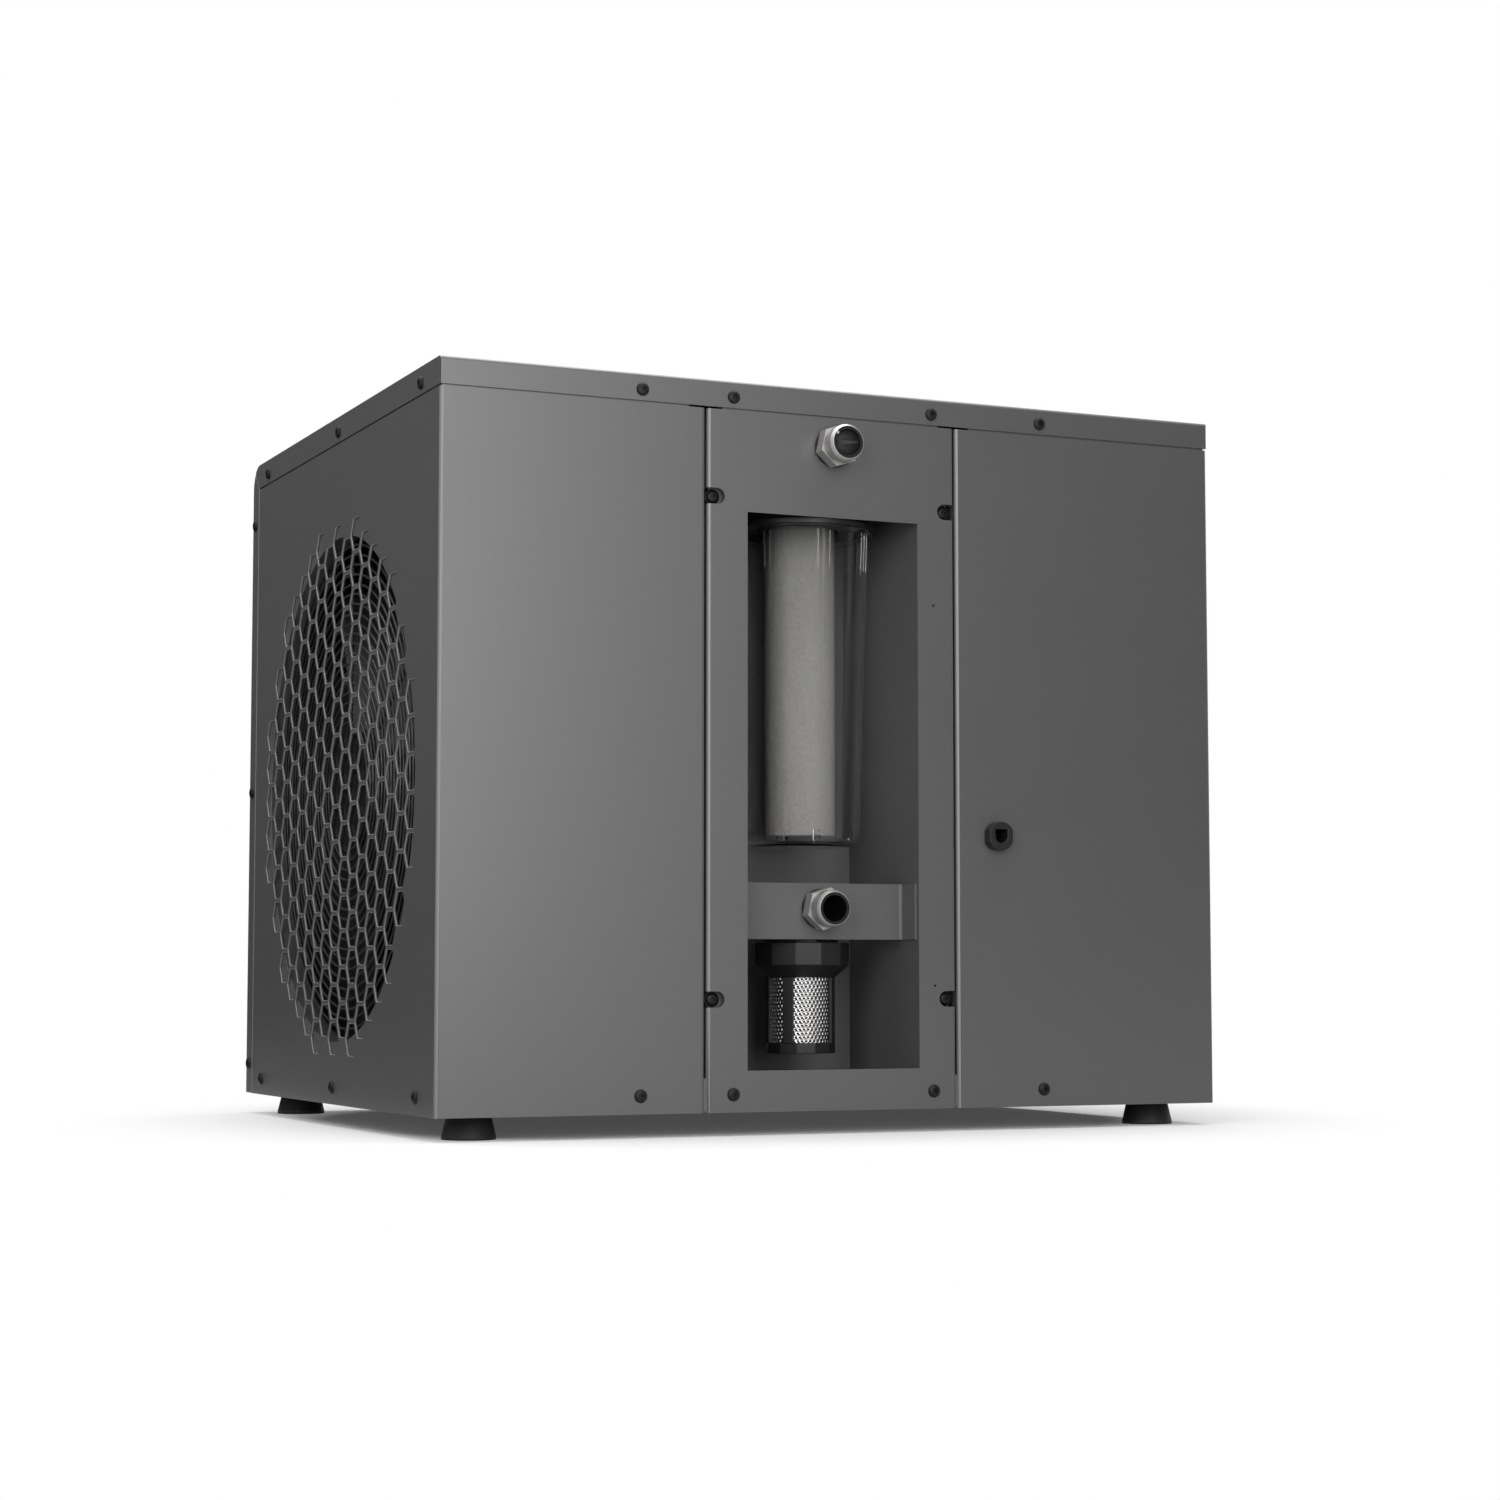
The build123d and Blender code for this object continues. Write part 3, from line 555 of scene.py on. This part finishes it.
class HEATPUMP_OT_case(bpy.types.Operator):
    """Round the cut edges of the case's painted sheets"""

    bl_idname = "heat_pump.case"
    bl_label = "Case sheets"

    def execute(self, context):
        radius = sizes().sheet_round
        for node in ("service_panel", "right_panel", "rear_cover"):
            case_sheet(node)
        for node in ("top_cover", "base_pan"):
            sheet = rounded_sheet(node, f"{node}_sheet", case_paint(), radius)
            # The upright near corners of the lid and the base get a painted highlight
            for face in sheet.data.polygons:
                if on_near_corner(face.normal):
                    sheet.data.attributes["painted_light"].data[face.index].value = CORNER_HIGHLIGHT
        hub = middle("fan_motor")
        low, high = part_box("fan_shroud")
        reach = (high.y - low.y) / 2

        def in_grille(point):
            return Vector((point.y - hub.y, point.z - hub.z)).length < reach

        case_sheet("left_panel", cells=in_grille)
        rounded_sheet("bay_liner", "bay_liner_sheet", bay_paint(), radius)
        bracket_radius = 0.1 * MM
        rounded_sheet("bracket", "bracket_sheet", bay_paint(), bracket_radius)
        rounded_sheet("fan_shroud", "fan_shroud_sheet", case_paint(), radius)
        return {"FINISHED"}


def button_head():
    """One button head with a hexagon socket, standing on the XY plane, as a mesh to repeat."""
    size = sizes()
    shape = bmesh.new()
    around, dome_steps = 24, 7
    flat = size.socket_across * 0.72
    skirt, sunk = 0.25 * MM, -0.3 * MM
    profile = [(size.screw_radius * 0.985, sunk), (size.screw_radius, skirt)]
    for step in range(1, dome_steps + 1):
        turn = step / dome_steps * pi / 2
        reach = flat + (size.screw_radius - flat) * cos(turn)
        profile.append((reach, skirt + (size.screw_height - skirt) * sin(turn)))
    lathe(shape, profile, around)
    close_up(shape)
    near_top = size.screw_height * 0.9
    rim = [e for e in shape.edges if e.is_boundary and min(v.co.z for v in e.verts) > near_top]
    place = Matrix.Translation((0, 0, size.screw_height))
    socket = bmesh.ops.create_circle(shape, segments=6, radius=size.socket_across / sqrt(3), cap_ends=False,
                                     matrix=place)
    ring = list({e for v in socket["verts"] for e in v.link_edges})
    bmesh.ops.bridge_loops(shape, edges=rim + ring)
    walls = bmesh.ops.extrude_edge_only(shape, edges=ring)
    foot = [v for v in walls["geom"] if isinstance(v, bmesh.types.BMVert)]
    bmesh.ops.translate(shape, vec=(0, 0, -size.socket_depth), verts=foot)
    bmesh.ops.contextual_create(shape, geom=foot)
    bmesh.ops.recalc_face_normals(shape, faces=shape.faces)
    mesh = bpy.data.meshes.new("button_head")
    shape.to_mesh(mesh)
    shape.free()
    return mesh


def screws_at(name, places, turn=0.0):
    """One piece made of a button head at each (place, outward), each socket turned on from the last."""
    step = 0.7
    head = button_head()
    shape = bmesh.new()
    for number, (place, outward) in enumerate(places):
        before = len(shape.verts)
        shape.from_mesh(head)
        shape.verts.ensure_lookup_table()
        spin = Matrix.Rotation(turn + number * step, 4, "Z")
        bmesh.ops.transform(shape, matrix=frame_at(place, outward) @ spin, verts=shape.verts[before:])
    bpy.data.meshes.remove(head)
    return finish_piece(name, shape, screw_black(), sharp=35.0, weighted=False)


class HEATPUMP_OT_screws(bpy.types.Operator):
    """Add the black button head screws of the lid, the panels and the rear cover"""

    bl_idname = "heat_pump.screws"
    bl_label = "Case screws"

    def execute(self, context):
        facing = Vector((0, -1, 0))
        lid_z = BOTTOM + 498.5 * MM
        low_z = BOTTOM + 12.4 * MM
        along = [LEFT + x * MM for x in (146.4, 215.3, 371.1, 460.8)]
        front = [(Vector((x, FRONT, z)), facing) for z in (lid_z, low_z) for x in along]
        screws_at("front_screws", front)
        deep = [FRONT + y * MM for y in (41.5, 241.2, 441.3)]
        strip = [BOTTOM + z * MM for z in (461.2, 242.3, 23.7)]
        strip_y = FRONT + 480.0 * MM
        for name, x, outward in (("left_screws", LEFT, (-1, 0, 0)), ("right_screws", RIGHT, (1, 0, 0))):
            places = [(Vector((x, y, z)), Vector(outward)) for z in (lid_z, low_z) for y in deep]
            places += [(Vector((x, strip_y, z)), Vector(outward)) for z in strip]
            screws_at(name, places)
        return {"FINISHED"}


class HEATPUMP_OT_notch_screws(bpy.types.Operator):
    """Add the screws in the service panel's four notches, with a black washer under each, which paints the
    shade in the notch
    """

    bl_idname = "heat_pump.notch_screws"
    bl_label = "Notch screws"

    def execute(self, context):
        sunk = FRONT + 6.0 * MM
        places = [(Vector((LEFT + x * MM, sunk, BOTTOM + z * MM)), Vector((0, -1, 0)))
                  for x in (201.5, 383.0) for z in (77.6, 427.9)]
        screws_at("notch_screws", places, turn=0.3)
        # Black discs the size of a washer under the notch screws: painted shade that darkens each notch
        shade_disc_radius, shade_disc_foot, around = 5.6 * MM, -1.0 * MM, 24
        profile = [(0, 0), (shade_disc_radius, 0), (shade_disc_radius, shade_disc_foot), (0, shade_disc_foot)]
        shade_discs = bmesh.new()
        for place, outward in places:
            before = len(shade_discs.verts)
            lathe(shade_discs, profile, around)
            shade_discs.verts.ensure_lookup_table()
            bmesh.ops.transform(shade_discs, matrix=frame_at(place, outward), verts=shade_discs.verts[before:])
        close_up(shade_discs)
        finish_piece("notch_washers", shade_discs, screw_black(), weighted=False)
        return {"FINISHED"}


class HEATPUMP_OT_fittings(bpy.types.Operator):
    """Finish the water fittings in satin nickel with black seals"""

    bl_idname = "heat_pump.fittings"
    bl_label = "Water fittings"

    def execute(self, context):
        radius, corner = 0.25 * MM, 25.0
        bore_reach = 9.5 * MM
        for place in ("upper", "lower"):
            nut, nipple = f"{place}_nut", f"{place}_nipple"
            rounded_sheet(nut, f"{nut}_metal", fitting_metal(), radius, corner)
            spigot = rounded_sheet(nipple, f"{nipple}_metal", fitting_metal(), radius, corner)
            axis = middle(nipple)
            # The faces inside the nipple's bore get near black painted shade
            for face in spigot.data.polygons:
                if Vector((face.center.x - axis.x, face.center.z - axis.z)).length < bore_reach:
                    spigot.data.attributes["painted_light"].data[face.index].value = 1.0
            smooth_copy(f"{place}_seal", f"{place}_seal_rubber", rubber())
        smooth_copy("upper_plug", "upper_plug_rubber", rubber())
        return {"FINISHED"}


class HEATPUMP_OT_filter(bpy.types.Operator):
    """Finish the clear filter bowl, its collar and head and the cartridge"""

    bl_idname = "heat_pump.filter"
    bl_label = "Water filter"

    def execute(self, context):
        clear_bowl()
        smooth_copy("filter_collar", "filter_collar_moulding", black_plastic())
        smooth_copy("filter_head", "filter_head_moulding", black_plastic())
        smooth_copy("filter_cartridge", "filter_cartridge_fibre", cartridge_fibre())
        return {"FINISHED"}


def clear_bowl():
    """The clear bowl: a turned wall with its rim, grip ribs in groups of three and fins on its floor."""
    size = sizes()
    low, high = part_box("filter_bowl")
    centre = middle("filter_bowl")
    tall = high.z - low.z
    foot, top, wall = size.bowl_foot, size.bowl_top, size.bowl_wall
    corner, rim = 10.0 * MM, (high.x - low.x) / 2
    rim_low, rim_high = tall - 4.0 * MM, tall - 1.0 * MM

    def outside(height):
        return foot + (top - foot) * height / tall

    around, corner_steps = 160, 8
    quarter = [step / corner_steps * pi / 2 for step in range(corner_steps + 1)]
    bend = corner - wall
    outer = [(foot - corner + corner * sin(turn), corner - corner * cos(turn)) for turn in quarter]
    inner = [(foot - corner + bend * cos(turn), corner - bend * sin(turn)) for turn in quarter]
    profile = [(0, 0), *outer, (outside(rim_low), rim_low), (rim, rim_low), (rim, rim_high),
               (outside(rim_high), rim_high), (top, tall), (top - wall, tall), *inner, (0, wall)]
    shape = bmesh.new()
    lathe(shape, profile, around)
    close_up(shape)
    # The ribs and the fins stand off the wall by this much, so that clear faces never share a place
    air = 0.02 * MM
    groups, ribs = 8, 3
    first_turn, rib_turn = radians(-99.6), radians(5.1)
    rib_length, rib_width, rib_depth = 26.8 * MM, 0.9 * MM, 0.5 * MM
    fin_inner, fin_outer, fin_width = 28.0 * MM, 39.0 * MM, 1.6 * MM
    fin_top, fin_toe = 12.0 * MM, 6.0 * MM
    for group in range(groups):
        group_turn = first_turn + group * 2 * pi / groups
        for rib in range(ribs):
            bar = bmesh.ops.create_cube(shape, size=1.0)["verts"]
            for vert in bar:
                height = rim_low - air if vert.co.z > 0 else rim_low - rib_length
                vert.co.x = outside(height) + (rib_depth if vert.co.x > 0 else air)
                vert.co.y *= rib_width
                vert.co.z = height
            turn = Matrix.Rotation(group_turn + rib * rib_turn, 4, "Z")
            bmesh.ops.transform(shape, matrix=turn, verts=bar)
        fin = bmesh.ops.create_cube(shape, size=1.0)["verts"]
        for vert in fin:
            outward = vert.co.x > 0
            foot_height = fin_toe if outward else wall + air
            vert.co.z = fin_top if vert.co.z > 0 else foot_height
            vert.co.x = fin_outer if outward else fin_inner
            vert.co.y *= fin_width
        turn = Matrix.Rotation(group_turn + rib_turn, 4, "Z")
        bmesh.ops.transform(shape, matrix=turn, verts=fin)
    bmesh.ops.translate(shape, vec=(centre.x, centre.y, low.z), verts=shape.verts)
    finish_piece("filter_bowl_moulding", shape, clear_plastic(), ("filter_bowl",),
                 weighted=False)


class HEATPUMP_OT_strainer(bpy.types.Operator):
    """Make the strainer's perforated sleeve and finish its black mouldings"""

    bl_idname = "heat_pump.strainer"
    bl_label = "Strainer"

    def execute(self, context):
        edge_radius = 0.5 * MM
        for node in ("elbow", "strainer_cap", "strainer_cage"):
            name = f"{node}_moulding"
            rounded_sheet(node, name, black_plastic(), edge_radius, corner=20.0)
        size = sizes()
        low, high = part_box("strainer_mesh")
        centre = middle("strainer_mesh")
        radius = (high.x - low.x) / 2
        rows = round((high.z - low.z) / size.mesh_pitch)
        pitch = (high.z - low.z) / rows
        # The holes stand in a hexagonal pattern, so they are further apart round the sheet than its rows
        apart = pitch * 2 / sqrt(3)
        around = round(2 * pi * radius / apart)
        tile = holed_tile(2 * radius * sin(pi / around), pitch, size.mesh_hole)
        shape = bmesh.new()
        for row in range(rows):
            before = len(shape.verts)
            shape.from_mesh(tile)
            shape.verts.ensure_lookup_table()
            shift = Matrix.Rotation(row % 2 * pi / around, 4, "Z")
            place = Matrix.Translation((centre.x, centre.y, low.z + (row + 0.5) * pitch))
            outward = Matrix.Translation((radius * cos(pi / around), 0, 0))
            fresh = shape.verts[before:]
            bmesh.ops.transform(shape, matrix=place @ shift @ outward, verts=fresh)
            edges = list({e for v in fresh for e in v.link_edges})
            faces = list({f for v in fresh for f in v.link_faces})
            bmesh.ops.spin(shape, geom=fresh + edges + faces, cent=centre, axis=(0, 0, 1), dvec=(0, 0, 0),
                           angle=2 * pi, steps=around, use_duplicate=True)
        bpy.data.meshes.remove(tile)
        close_up(shape)
        piece = finish_piece("strainer_sleeve", shape, strainer_metal(), ("strainer_mesh",),
                             sharp=45.0, weighted=False)
        wall = piece.modifiers.new("Wall", "SOLIDIFY")
        wall.thickness = 0.5 * MM
        wall.offset = -1
        return {"FINISHED"}


def holed_tile(width, height, hole):
    """One upright tile of the perforated sheet with a hole of eight sides, as a mesh to repeat."""
    shape = bmesh.new()
    bmesh.ops.create_grid(shape, x_segments=2, y_segments=2, size=0.5)
    inner = min(shape.verts, key=lambda v: v.co.length)
    bmesh.ops.delete(shape, geom=[inner], context="VERTS")
    bmesh.ops.scale(shape, vec=(width, height, 1), verts=shape.verts)
    border = list(shape.edges)
    ring = bmesh.ops.create_circle(shape, segments=8, radius=hole, cap_ends=False)
    round_hole = list({e for v in ring["verts"] for e in v.link_edges})
    bmesh.ops.bridge_loops(shape, edges=border + round_hole)
    upright = Matrix.Rotation(pi / 2, 4, "Z") @ Matrix.Rotation(pi / 2, 4, "X")
    bmesh.ops.transform(shape, matrix=upright, verts=shape.verts)
    mesh = bpy.data.meshes.new("holed_tile")
    shape.to_mesh(mesh)
    shape.free()
    return mesh


class HEATPUMP_OT_fan(bpy.types.Operator):
    """Make the fan guard's spiral wire, spokes and glossy hub plate, and finish the fan behind it"""

    bl_idname = "heat_pump.fan"
    bl_label = "Fan and guard"

    def execute(self, context):
        size = sizes()
        hub = middle("fan_motor")
        low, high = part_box("fan_guard")
        wire_x = low.x + size.wire_radius
        pitch = size.wire_pitch
        mouth = (high.y - low.y) / 2 + pitch / 4
        turns = round(2 * (mouth - size.hub_radius) / pitch)
        # The spiral is made of half turns about two centres that stand half a pitch apart
        first_steps = 18
        shape = bmesh.new()
        first = bmesh.ops.create_circle(
            shape, segments=7, radius=size.wire_radius, cap_ends=False,
            matrix=Matrix.Translation((wire_x, hub.y + size.hub_radius - pitch / 4, hub.z)))["verts"]
        ring = first + list({e for v in first for e in v.link_edges})
        for half in range(turns):
            centre = (wire_x, hub.y + (pitch / 4 if half % 2 else -pitch / 4), hub.z)
            made = bmesh.ops.spin(shape, geom=ring, cent=centre, axis=(1, 0, 0), dvec=(0, 0, 0), angle=-pi,
                                  steps=first_steps + half // 2, use_merge=False)
            ring = [g for g in made["geom_last"] if not isinstance(g, bmesh.types.BMFace)]
        bmesh.ops.contextual_create(shape, geom=first)
        bmesh.ops.contextual_create(shape, geom=[g for g in ring if isinstance(g, bmesh.types.BMVert)])
        close_up(shape)
        finish_piece("guard_wire", shape, wire_coat(), ("fan_guard",), weighted=False)

        spokes, spoke_width, spoke_radius = 6, 3.6 * MM, 0.5 * MM
        start = 0.8 * size.hub_radius
        length = mouth - start
        bar = Matrix.Diagonal((high.x - low.x - 2 * size.wire_radius, spoke_width, length, 1))
        out = Matrix.Translation((0, 0, start + length / 2))
        place = Matrix.Translation((high.x - size.wire_radius, hub.y, hub.z))
        shape = bmesh.new()
        for spoke in range(spokes):
            made = bmesh.ops.create_cube(shape, size=1.0)["verts"]
            turn = Matrix.Rotation(spoke * 2 * pi / spokes, 4, "X")
            bmesh.ops.transform(shape, matrix=place @ turn @ out @ bar, verts=made)
        round_edges(shape, list(shape.edges), spoke_radius)
        finish_piece("guard_spokes", shape, wire_coat(), ("fan_guard",))

        thick = 2 * size.wire_radius
        rim = 0.5 * MM
        turn_in = 0.3 * rim
        profile = [(0, 0), (size.hub_radius, 0), (size.hub_radius, thick - rim),
                   (size.hub_radius - turn_in, thick - turn_in), (size.hub_radius - rim, thick), (0, thick)]
        plate = turned(profile, (low.x + thick, hub.y, hub.z), (-1, 0, 0), steps=96)
        finish_piece("guard_hub", plate, hub_gloss(), ("fan_guard",))

        smooth_copy("fan_motor", "fan_motor_body", wire_coat())
        smooth_copy("fan_wheel", "fan_wheel_blades", wire_coat())
        return {"FINISHED"}


class HEATPUMP_OT_gland(bpy.types.Operator):
    """Finish the cable gland"""

    bl_idname = "heat_pump.gland"
    bl_label = "Cable gland"

    def execute(self, context):
        radius = 0.6 * MM
        rounded_sheet("cable_gland", "cable_gland_moulding", black_plastic(), radius)
        return {"FINISHED"}


class HEATPUMP_OT_feet(bpy.types.Operator):
    """Make the four rubber feet with the fine teeth round their lower rims"""

    bl_idname = "heat_pump.feet"
    bl_label = "Rubber feet"

    def execute(self, context):
        size = sizes()
        for place in ("near_left", "near_right", "far_left", "far_right"):
            low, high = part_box(f"{place}_foot")
            centre = middle(f"{place}_foot")
            tall = high.z - low.z
            radius = (high.x - low.x) / 2
            rim, neck = 3.0 * MM, radius - 3.2 * MM
            hole, depth, bevel = 8.0 * MM, 9.0 * MM, 0.6 * MM
            tooth_top, soft, shoulder = 1.2 * MM, 0.5 * MM, 0.3 * MM
            profile = [(0, depth), (hole, depth), (hole, bevel), (hole + bevel, 0), (radius, 0),
                       (radius, tooth_top), (radius, rim - soft), (radius - shoulder, rim + shoulder),
                       (neck, tall - soft), (neck - soft, tall), (0, tall)]
            shape = bmesh.new()
            lathe(shape, profile, 2 * size.foot_teeth)
            close_up(shape)
            half_tooth = pi / size.foot_teeth
            for vert in shape.verts:
                around = Vector((vert.co.x, vert.co.y))
                if vert.co.z < tooth_top / 2 and around.length > neck:
                    step = round(around.angle_signed(Vector((1, 0)), 0) / half_tooth)
                    if step % 2:
                        vert.co *= 1 - size.tooth_depth / radius
            bmesh.ops.translate(shape, vec=(centre.x, centre.y, low.z), verts=shape.verts)
            finish_piece(f"{place}_foot_rubber", shape, rubber(), (f"{place}_foot",),
                         weighted=False)
        return {"FINISHED"}


class HEATPUMP_OT_stage(bpy.types.Operator):
    """Set up the floor, the soft lamps, the dark cards, the white surround and the camera"""

    bl_idname = "heat_pump.stage"
    bl_label = "Stage"

    def execute(self, context):
        scene = context.scene
        stage = scene.heat_pump_stage
        shape = bmesh.new()
        half_width = 30.0
        bmesh.ops.create_grid(shape, x_segments=1, y_segments=1, size=half_width)
        mesh = bpy.data.meshes.new("floor")
        shape.to_mesh(mesh)
        shape.free()
        floor = bpy.data.objects.new("floor", mesh)
        scene.collection.objects.link(floor)
        mesh.materials.append(floor_white())

        lamp("front_lamp", (-0.10, -2.1, 0.82), (-0.05, -0.2, 0.70), (0.9, 1.5), stage.front)
        lamp("rim_lamp", (-1.5, 1.4, 1.2), (-0.3, 0.0, 0.25), (0.9, 0.9), stage.rim)
        lamp("high_lamp", (-1.7, 0.1, 2.0), (-0.3, 0.0, 0.25), (1.0, 1.0), stage.high)
        lamp("left_lamp", (-1.45, -1.75, 0.8), (0.05, -0.1, 0.25), (0.8, 1.4), stage.left)
        lamp("top_lamp", (0.0, 0.0, 2.2), (0.0, 0.0, 0.3), (2.0, 2.0), stage.overhead)

        dark_card("rear_card", (-0.85, 1.05, 0.61), (90, 0, 20), (1.8, 1.2))
        dark_card("front_card", (1.45, -1.75, 0.85), (90, 0, 38), (1.5, 1.7), bounce=False)
        dark_card("floor_mat", (-0.95, 0.45, 0.002), (0, 0, 0), (1.2, 1.4), bounce=False)

        world = bpy.data.worlds.new("Surround")
        world.use_nodes = True
        scene.world = world
        nodes, links = world.node_tree.nodes, world.node_tree.links
        nodes.clear()
        soft = nodes.new("ShaderNodeBackground")
        soft.inputs["Color"].default_value = (1, 1, 1, 1)
        soft.inputs["Strength"].default_value = stage.ambient
        white = nodes.new("ShaderNodeBackground")
        white.inputs["Color"].default_value = (1, 1, 1, 1)
        white.inputs["Strength"].default_value = 1.0
        mix = nodes.new("ShaderNodeMixShader")
        links.new(seen_rays(nodes, links), mix.inputs[0])
        links.new(soft.outputs[0], mix.inputs[1])
        links.new(white.outputs[0], mix.inputs[2])
        output = nodes.new("ShaderNodeOutputWorld")
        links.new(mix.outputs[0], output.inputs["Surface"])

        camera_data = bpy.data.cameras.new("photo_camera")
        camera_data.lens = 70.572
        camera_data.sensor_width = 36.0
        camera_data.clip_end = 100.0
        camera = bpy.data.objects.new("photo_camera", camera_data)
        camera.location = (LEFT - 0.608907, FRONT - 1.862908, BOTTOM + 0.093638)
        camera.rotation_euler = (radians(94.4001), 0.0, radians(-24.1868))
        scene.collection.objects.link(camera)
        scene.camera = camera
        scene.view_settings.view_transform = "Standard"
        return {"FINISHED"}


def seen_rays(nodes, links):
    """A mask that is 1 for the camera's rays and for those seen in gloss or through clear plastic."""
    path = nodes.new("ShaderNodeLightPath")
    mask = path.outputs["Is Camera Ray"]
    for ray in ("Is Glossy Ray", "Is Transmission Ray"):
        either = nodes.new("ShaderNodeMath")
        either.operation = "MAXIMUM"
        links.new(mask, either.inputs[0])
        links.new(path.outputs[ray], either.inputs[1])
        mask = either.outputs[0]
    return mask


def floor_white():
    """A pale floor that keeps the shadow near the machine and shows white further off.

    Its soft light on the machine is that of a plain mid grey, and its gloss shows the white one.
    """
    material, nodes, links, shader = finish("Pale floor")
    shader.inputs["Roughness"].default_value = 0.9
    shader.inputs["Specular IOR Level"].default_value = 0.0
    place = nodes.new("ShaderNodeTexCoord")
    reach = nodes.new("ShaderNodeVectorMath")
    reach.operation = "LENGTH"
    far = nodes.new("ShaderNodeMapRange")
    far.inputs["From Min"].default_value = 0.30
    far.inputs["From Max"].default_value = 0.52
    # Even near the machine the floor glows a little for the camera: painted light that lifts its shadow
    far.inputs["To Min"].default_value = 0.06
    mask = seen_rays(nodes, links)
    tone = nodes.new("ShaderNodeMix")
    tone.data_type = "RGBA"
    tone.inputs[6].default_value = (0.5, 0.5, 0.5, 1)
    tone.inputs[7].default_value = (1.0, 1.0, 1.0, 1)
    links.new(mask, tone.inputs[0])
    links.new(tone.outputs[2], shader.inputs["Base Color"])
    seen = nodes.new("ShaderNodeMath")
    seen.operation = "MULTIPLY"
    glow = nodes.new("ShaderNodeEmission")
    mix = nodes.new("ShaderNodeMixShader")
    links.new(place.outputs["Object"], reach.inputs[0])
    links.new(reach.outputs["Value"], far.inputs["Value"])
    links.new(far.outputs["Result"], seen.inputs[0])
    links.new(mask, seen.inputs[1])
    links.new(seen.outputs[0], mix.inputs[0])
    links.new(shader.outputs[0], mix.inputs[1])
    links.new(glow.outputs[0], mix.inputs[2])
    links.new(mix.outputs[0], nodes["Material Output"].inputs["Surface"])
    return material


def dark_card(name, place, turn, size, bounce=True):
    """A dark card that the camera does not see, turned by the three angles in degrees.

    Without bounce it shows in glossy reflections alone, and otherwise it holds back soft light as well.
    """
    shape = bmesh.new()
    bmesh.ops.create_grid(shape, x_segments=1, y_segments=1, size=0.5)
    stand = Matrix.Translation(place) @ Euler([radians(angle) for angle in turn]).to_matrix().to_4x4()
    bmesh.ops.transform(shape, matrix=stand @ Matrix.Diagonal((*size, 1, 1)), verts=shape.verts)
    mesh = bpy.data.meshes.new(name)
    shape.to_mesh(mesh)
    shape.free()
    mesh.materials.append(rubber())
    card = bpy.data.objects.new(name, mesh)
    card.visible_camera = False
    card.visible_shadow = False
    card.visible_transmission = bounce
    card.visible_diffuse = bounce
    bpy.context.scene.collection.objects.link(card)


def lamp(name, place, target, size, watts):
    """A soft lamp of the given width and height at place, turned to the target."""
    data = bpy.data.lights.new(name, "AREA")
    data.shape = "RECTANGLE"
    data.size, data.size_y = size
    data.energy = watts
    light = bpy.data.objects.new(name, data)
    light.location = place
    light.rotation_euler = (Vector(target) - Vector(place)).to_track_quat("-Z", "Y").to_euler()
    bpy.context.scene.collection.objects.link(light)


OPERATORS = (
    HEATPUMP_OT_stage, HEATPUMP_OT_case, HEATPUMP_OT_screws, HEATPUMP_OT_notch_screws, HEATPUMP_OT_fittings,
    HEATPUMP_OT_filter, HEATPUMP_OT_strainer, HEATPUMP_OT_fan, HEATPUMP_OT_gland, HEATPUMP_OT_feet,
)


class HEATPUMP_PT_dresser(bpy.types.Panel):
    """Lists the sizes, the colours and the pieces"""

    bl_idname = "HEATPUMP_PT_dresser"
    bl_label = "Heat pump"
    bl_space_type = "VIEW_3D"
    bl_region_type = "UI"
    bl_category = "Heat Pump"

    def draw(self, context):
        scene = context.scene
        for heading, group in (("Sizes", scene.heat_pump_sizes), ("Colours", scene.heat_pump_colours),
                               ("Stage", scene.heat_pump_stage)):
            box = self.layout.box()
            box.label(text=heading)
            for key in group.bl_rna.properties.keys():
                if key not in ("rna_type", "name"):
                    box.prop(group, key)
        column = self.layout.column(align=True)
        for operator in OPERATORS:
            column.operator(operator.bl_idname)


GROUPS = (HeatPumpSizes, HeatPumpColours, HeatPumpStage)


def register():
    for group in GROUPS + OPERATORS + (HEATPUMP_PT_dresser,):
        bpy.utils.register_class(group)
    bpy.types.Scene.heat_pump_sizes = bpy.props.PointerProperty(type=HeatPumpSizes)
    bpy.types.Scene.heat_pump_colours = bpy.props.PointerProperty(type=HeatPumpColours)
    bpy.types.Scene.heat_pump_stage = bpy.props.PointerProperty(type=HeatPumpStage)


def unregister():
    for name in ("heat_pump_stage", "heat_pump_colours", "heat_pump_sizes"):
        delattr(bpy.types.Scene, name)
    for group in reversed(GROUPS + OPERATORS + (HEATPUMP_PT_dresser,)):
        bpy.utils.unregister_class(group)


def main():
    register()
    for operator in OPERATORS:
        family, action = operator.bl_idname.split(".")
        getattr(getattr(bpy.ops, family), action)()


if __name__ == "__main__":
    main()
